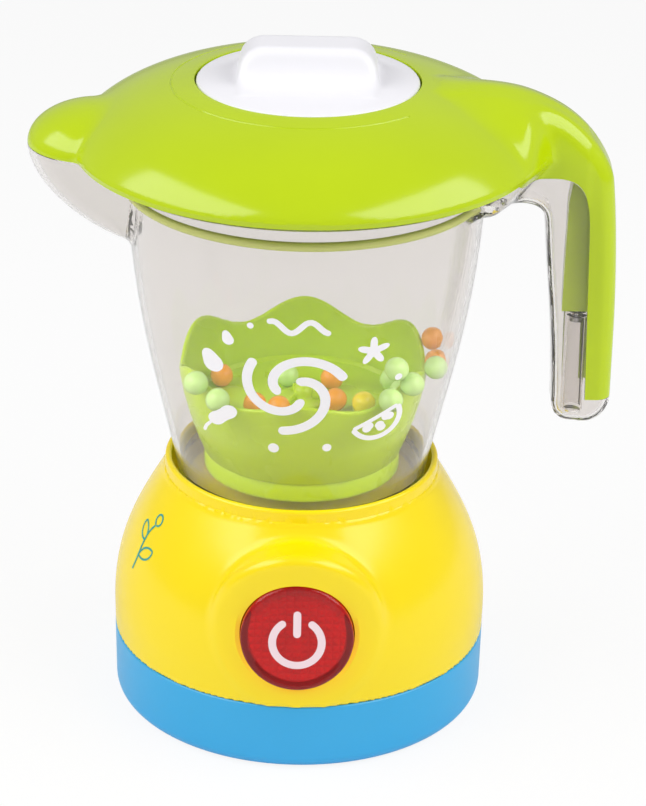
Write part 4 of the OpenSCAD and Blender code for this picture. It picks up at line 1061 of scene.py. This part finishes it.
dress(bowl, lime_bowl, "jug", ["bowl_insert"], angle=40)

# %% [markdown]
# A small hub with three curved vanes pushes the balls round. Each vane starts as a strip of grid
# that is bent, thickened and bevelled, and is then joined to the hub.

# %% Rotor
ROTOR_Z = BOWL_FLOOR + 0.3
rotor = turned(
    "rotor_moulding",
    [
        line((0, ROTOR_Z), (8.6, ROTOR_Z), (9.0, ROTOR_Z + 0.3), (9.0, ROTOR_Z + 0.9)),
        arc((8.4, ROTOR_Z + 0.9), 0.6, 0, 90, 4),
        line((4.2, ROTOR_Z + 1.5), (3.6, ROTOR_Z + 1.8), (3.4, ROTOR_Z + 2.2)),
        arc((0, ROTOR_Z + 3.1), 3.4, 0, 90, 10),
    ],
    steps=64,
)
for a in (100, 220, 340):
    vane = primitive("vane", "grid", x_subdivisions=12, y_subdivisions=1, size=2 * MM)
    g = points_of(vane)
    along = (g[:, 0] + 1) / 2
    run = 3.0 + along * 5.4
    sweep = 0.07 * (along * 5) ** 2 * 1.1
    top = ROTOR_Z + 1.4 + np.where(g[:, 1] > 0, 2.4 - 0.9 * along, 0)
    c, s = math.cos(math.radians(a)), math.sin(math.radians(a))
    place_points(vane, np.column_stack((run * c - sweep * s, run * s + sweep * c, top)))
    apply(vane, "SOLIDIFY", thickness=1.2 * MM, offset=0)
    apply(vane, "BEVEL", width=0.35 * MM, segments=2, limit_method="ANGLE")
    outward(vane)
    cut(rotor, vane, "UNION")
dress(rotor, lime_bowl, "rotor", ["rotor"], angle=40)

# %% [markdown]
# The balls are moulded in two halves, so each gets a faint seam and the mark of its gate, and each
# lies turned its own way. A fixed seed gives the same turns every time.

# %% Balls
rng = np.random.default_rng(7)
BALL_R = 4.0
JUG_IN = lambda z: jug_radius(z, WALL)


def ball_mesh(name, centre):
    """A ball in two halves: a faint seam round it and the mark of its gate at one pole."""
    piece = primitive(name, "uv_sphere", segments=40, ring_count=28, radius=BALL_R * MM)
    b = points_of(piece)
    up = b[:, 2] / BALL_R
    b *= (1 + 0.006 * np.exp(-((up / 0.035) ** 2)) - 0.012 * (up > 0.985))[:, None]
    turn = np.linalg.qr(rng.normal(size=(3, 3)))[0]
    turn *= np.sign(np.linalg.det(turn))
    place_points(piece, b @ turn.T + centre)
    return piece


def floor_ball(x, y, lift=0.0):
    return (x, y, BOWL_FLOOR + BALL_R + 0.15 + lift)


def rim_ball(degrees):
    a = math.radians(degrees)
    reach = lambda z: float(JUG_IN(z)) - 1.03 * (BALL_R + 0.15)
    top = float(wave_z(np.array([a]))[0])

    def height(r):
        over = max(r - float(side(top)), 0)
        return top + 1.1 * math.sqrt(max((BALL_R + 0.15) ** 2 - over**2, 1))

    z1 = height(reach(top + 0.7 * BALL_R))
    r = reach(z1)
    return (r * math.cos(a), r * math.sin(a), height(r))


ball_sets = [
    ("balls_pale_green", pearl_green, "ball_green", "balls", "balls_green",
     [floor_ball(*at) for at in ((-5.7, 12.1), (31, -7.6), (30.8, 10.4), (33.5, -13.2, 6.3))]),
    ("balls_orange_loose", pearl_orange, "ball_orange", "balls", "balls_orange",
     [floor_ball(*at)
      for at in ((10, 10.6), (11.3, -7.2), (-28.6, 11), (-16.2, -12), (-8, -14.4))]),
    ("ball_yellow_loose", pearl_yellow, "ball_yellow", "balls", "ball_yellow",
     [floor_ball(21, -9.6)]),
    ("balls_green_on_rim", pearl_green, "ball_green", "jug", "rim_balls_green",
     [rim_ball(a) for a in (221.2, 233, 309.5, 321, 347)] + [(31.2, -31.0, 136.2)]),
    ("balls_orange_on_rim", pearl_orange, "ball_orange", "jug", "rim_balls_orange",
     [rim_ball(a) for a in (0.5, 14.8)]),
]
for name, material, slot, body, solid, centres in ball_sets:
    balls = join(name, [ball_mesh(name + "_%d" % i, c) for i, c in enumerate(centres)])
    dress(balls, material, body, [solid], angle=60)

# %% [markdown]
# ## The prints
# The white prints on the jug and the sign on the button are thin layers of ink. A stroke starts
# as a narrow grid whose rows are laid along a path, and a filled shape as a grid bent round into
# a disc. Both are then wrapped onto the moulding and given the thickness of the ink.

# %% Strokes and filled shapes
def stroke(name, path, width):
    """A stroke with round ends along a path in the plane of the print."""
    path = np.asarray(path, float)
    step = np.linalg.norm(np.diff(path, axis=0), axis=1)
    at = np.r_[0, np.cumsum(step)]
    total = at[-1]
    ends = width * np.array([0.06, 0.2, 0.4, 0.7])
    along = np.unique(np.r_[np.linspace(0, total, 2 + int(total / 0.8)), ends, total - ends])
    line_x, line_z = np.interp(along, at, path[:, 0]), np.interp(along, at, path[:, 1])
    dx, dz = np.gradient(line_x, along), np.gradient(line_z, along)
    norm = np.hypot(dx, dz)
    to_end = np.minimum(along, total - along)
    half = width * np.sqrt(np.clip(1 - (1 - np.minimum(to_end / width, 1)) ** 2, 0.004, 1))
    count = len(along) - 1
    piece = primitive(name, "grid", x_subdivisions=count, y_subdivisions=2, size=2 * MM)
    g = points_of(piece)
    i = np.rint((g[:, 0] + 1) / 2 * count).astype(int)
    x = line_x[i] - dz[i] / norm[i] * half[i] * g[:, 1]
    z = line_z[i] + dx[i] / norm[i] * half[i] * g[:, 1]
    place_points(piece, np.column_stack((x, np.zeros(len(x)), z)))
    return piece


def filled(name, outline, centre=(0.0, 0.0), turn=0.0, around=48):
    """A filled shape whose edge lies at the distance outline(angle) from its centre."""
    piece = primitive(name, "grid", x_subdivisions=around, y_subdivisions=4, size=2 * MM)
    g = points_of(piece)
    a = (g[:, 0] + 1) * math.pi
    r = outline(a) * (g[:, 1] + 1.02) / 2.02
    x = centre[0] + r * np.cos(a + turn)
    z = centre[1] + r * np.sin(a + turn)
    place_points(piece, np.column_stack((x, np.zeros(len(x)), z)))
    with editing(piece):
        bpy.ops.mesh.remove_doubles(threshold=0.005 * MM)
    # the small hole left in the middle is closed onto the centre
    b = points_of(piece)
    inner = np.hypot(b[:, 0] - centre[0], b[:, 2] - centre[1]) < 0.06 * outline(np.zeros(1))[0]
    b[inner, 0], b[inner, 2] = centre[0], centre[1]
    place_points(piece, b)
    with editing(piece):
        bpy.ops.mesh.remove_doubles(threshold=0.002 * MM)
    return piece


def ink(piece, thickness=0.1):
    apply(piece, "SOLIDIFY", thickness=thickness * MM, offset=1)
    return outward(piece, merge=0.0005)


def wrap_on_jug(piece):
    g = points_of(piece)
    r = jug_radius(g[:, 2]) + 0.06
    depth = np.sqrt(np.maximum(r**2 - g[:, 0] ** 2, 1))
    place_points(piece, np.column_stack((g[:, 0], -depth, g[:, 2])))
    return piece


def wrap_on_button(piece):
    g = points_of(piece)
    r = np.hypot(g[:, 0], g[:, 2])
    place_points(piece, np.column_stack((g[:, 0], g[:, 2], 1.2 - 0.42 * (r / 15.4) ** 2)))
    return to_button(piece)


def wrap_on_shoulder(piece, degrees, height):
    """Wraps a drawing round the housing's left side."""
    g = points_of(piece)
    z = height + g[:, 2] * 0.92
    r = np.interp(z, SHOULDER[:, 1], SHOULDER[:, 0]) + 0.05
    a = math.radians(degrees) + g[:, 0] / r
    place_points(piece, np.column_stack((r * np.cos(a), r * np.sin(a), z)))
    return piece


# %% [markdown]
# The jug carries a whirl of three arms, as a spoon leaves them, with a slice of fruit, two drops,
# a star, a leaf, a wave and four dots strewn round it.

# %% Prints on the jug
PRINT_SCALE, PRINT_MIDDLE = 1.22, 138


def drop(round_part, tail):
    return lambda a: round_part + tail * np.maximum(np.sin(a), 0) ** 5


slice_at = np.array([20.5, 127.0])
slice_edge = slice_at + line((-6.0, -2.8), (-2.0, -0.95), (2.0, 0.95), (6.0, 2.8))
wave_x = np.linspace(-9, 8, 24)
wave = np.column_stack((wave_x, 157.5 + 1.7 * np.sin(wave_x * 0.62)))
prints = [
    stroke("print_slice_rind", slice_at + arc((0, 0), 6.6, 205, 385, 24), 0.75),
    stroke("print_slice_edge", slice_edge, 0.6),
    filled("print_drop", drop(2.7, 1.9), (-23.5, 143.0), 0.5),
    filled("print_drop_small", drop(1.6, 1.2), (-19.5, 151.5), 0.3),
    filled("print_star", lambda a: 3.1 + 1.35 * np.cos(5 * a), (19.5, 149.0), 0.3, 60),
    filled("print_leaf", lambda a: 1.9 + 2.9 * np.abs(np.cos(a)) ** 3, (-21.0, 126.5), 0.75),
    stroke("print_leaf_stem", line((-24.2, 123.2), (-25.5, 121.4), (-26.1, 119.4)), 0.45),
    stroke("print_wave", wave, 0.85),
]
for size, x, z in ((1.25, 7.5, 119.0), (1.0, 26.5, 139.0), (1.5, -7.0, 118.5), (0.9, -13.5, 157.0)):
    prints.append(filled("print_dot", lambda a: size + 0 * a, (x, z)))
sweep = np.linspace(0, 1, 50)
arm_r = 3.2 + 11.3 * sweep**0.9
for k in range(3):
    arm_a = math.radians(70 + 120 * k) - sweep * math.radians(175)
    arm = np.column_stack((arm_r * np.cos(arm_a) - 2.0, 137.5 + 0.92 * arm_r * np.sin(arm_a)))
    prints.append(stroke("print_arm", arm, 1.35))
for turn in (235, 295, 355):
    t = math.radians(turn)
    at = slice_at + 3.4 * np.array([math.cos(t), math.sin(t)])
    seed = filled("print_slice", lambda a: 1.15 + 0.55 * np.abs(np.cos(a)), tuple(at), t)
    prints.append(seed)
for piece in prints:
    lift = (PRINT_SCALE - 1) * PRINT_MIDDLE
    larger = points_of(piece) * (PRINT_SCALE, 1, PRINT_SCALE) - (0.5, 0, lift)
    place_points(piece, larger)
    ink(wrap_on_jug(piece))
prints = join("prints_on_jug", prints)
dress(prints, print_white, "jug", angle=50)

# %% [markdown]
# The button carries the common sign for power, an open ring and a bar, which any toy may use. It
# is drawn flat and laid over the slightly domed face.

# %% Sign on the button
sign = [
    stroke("sign_ring", arc((0, -1.2), 7.3, 118, 422, 60), 1.15),
    stroke("sign_bar", line((0, 0.4), (0, 4.0), (0, 8.8)), 1.15),
]
SIGN_SCALE = 1.14
for piece in sign:
    place_points(piece, points_of(piece) * SIGN_SCALE)
    wrap_on_button(piece)
    ink(piece, 0.08)
sign = join("sign_on_button", sign)
sign_ink = finish("sign_print", (246, 222, 228), 0.5, tint=0.02)
dress(sign, sign_ink, "button", angle=50)

# %% [markdown]
# A thin drawing of a sprig sits on the side of the housing. It is wrapped round the shoulder by
# turning its width into an angle.

# %% Drawing on the housing's left side
leaf_a = [
    curve((-2.2, -3.4), (2.5, -4.6), (6.2, -1.6), (5.6, 1.2), 12),
    curve((5.6, 1.2), (2.0, 2.0), (-1.2, 0.2), (-2.2, -3.2), 12),
]
leaf_b = [
    curve((-1.8, 2.4), (-7.0, 2.0), (-8.2, 6.4), (-6.4, 8.2), 12),
    curve((-6.4, 8.2), (-3.4, 7.6), (-1.6, 5.6), (-1.8, 2.6), 12),
]
sprig = [
    stroke("sprig_stem", curve((-3.5, -9.5), (-1.0, -3.0), (-4.0, 4.0), (0.5, 9.0), 20), 0.42),
    stroke("sprig_leaf_a", np.vstack(leaf_a), 0.36),
    stroke("sprig_leaf_b", np.vstack(leaf_b), 0.36),
    stroke("sprig_bud", arc((1.2, 11.2), 2.0, -100, 250, 24), 0.36),
]
for piece in sprig:
    ink(wrap_on_shoulder(piece, 206, 64), 0.08)
sprig = join("sprig_on_housing", sprig)
sprig_ink = finish("sprig_print", (38, 158, 148), 0.5, tint=0.04)
dress(sprig, sprig_ink, "base", angle=50)

# %% [markdown]
# ## The pieces that stay as the CAD has them
# Gears, motor, screws, boards, switches and the door are right as solids, so they only get their
# finishes here. They show through the jug's floor, from below and when the toy is taken apart.

# %% Finishes of the remaining solids
keep = {
    blue_abs: ["battery_door"],
    steel: ["door_screw", "battery_contacts", "housing_screws", "board_screws",
            "button_board_screws", "gearbox_screws", "motor", "motor_screws", "idler_pin",
            "drive_shaft", "bowl_screws", "rotor_shaft", "handle_screw", "knob_screw",
            "knob_click_spring"],
    cell_wrap: ["battery_cells"],
    black_abs: ["speaker", "power_switch", "power_slider", "push_switch"],
    board: ["sound_board", "button_board"],
    lamp_cap: ["button_lamps"],
    white_abs: ["switch_plunger", "drive_coupling", "driven_coupling"],
    natural_pom: ["gearbox_plate", "gearbox_cover", "motor_pinion", "idler_gear", "output_gear",
                  "knob_ratchet"],
    brass: ["rotor_bush"],
}
for material, names in keep.items():
    for name in names:
        solid = bpy.data.objects[name]
        for slot in solid.material_slots:
            slot.material = material
        if not solid.material_slots:
            solid.data.materials.append(material)
print("kept solids:", sum(len(v) for v in keep.values()))

# %% [markdown]
# ## Floor, world and lamps
# The toy stands on pale matt paper. Seen straight or through clear plastic, most of the paper's
# colour is a white glow, and the rest of it keeps a faint shadow round the base.

# %% Floor
floor = primitive("studio_floor", "plane", size=12.0, location=(0, 0, 0))
paper = bpy.data.materials.new("floor_paper")
paper.use_nodes = True
tree = paper.node_tree
tree.nodes.clear()
matt = node(tree, "BsdfDiffuse", Color=(0.93, 0.93, 0.935, 1))
glow = node(tree, "Emission", Color=(1, 1, 1, 1))
ray = node(tree, "LightPath").outputs
seen = math_node(tree, "MAXIMUM", ray["Is Camera Ray"], ray["Is Transmission Ray"])
mixed(tree, math_node(tree, "MULTIPLY", seen, 0.88), matt, glow, node(tree, "OutputMaterial"))
floor.data.materials.append(paper)

# %% [markdown]
# Rays that reach the world straight or through clear plastic see white, and mirrored ones see part
# of it, so the jug shows a white room without the room flooding the toy with light.

# %% World
world = bpy.data.worlds.new("white_room")
bpy.context.scene.world = world
world.use_nodes = True
tree = world.node_tree
tree.nodes.clear()
soft = node(tree, "Background", Color=(1, 1, 1, 1), Strength=0.3)
white = node(tree, "Background", Color=(1, 1, 1, 1), Strength=1.0)
ray = node(tree, "LightPath").outputs
seen = math_node(tree, "MAXIMUM", ray["Is Camera Ray"], ray["Is Transmission Ray"])
gloss = math_node(tree, "MULTIPLY_ADD", ray["Is Glossy Ray"], 0.25, seen)
mixed(tree, gloss, soft, white, node(tree, "OutputWorld"))


# %% [markdown]
# Two softboxes stand in front, left and right, as in a product studio. They give the two
# window-like highlights on the shoulder and on the lid.

# %% Lamps
def softbox(name, place, aim, width, height, power):
    light = bpy.data.lights.new(name, "AREA")
    light.shape = "RECTANGLE"
    light.size, light.size_y = width, height
    light.energy = power
    lamp = bpy.data.objects.new(name, light)
    bpy.context.scene.collection.objects.link(lamp)
    lamp.location = place
    away = Vector(place) - Vector(aim)
    lamp.rotation_mode = "QUATERNION"
    lamp.rotation_quaternion = away.to_track_quat("Z", "Y")
    return lamp


for name, side in (("softbox_left", -1), ("softbox_right", 1)):
    softbox(name, (side * 0.80, -0.33, 0.83), (0, 0, 0.12), 1.2, 0.7, 9.0)
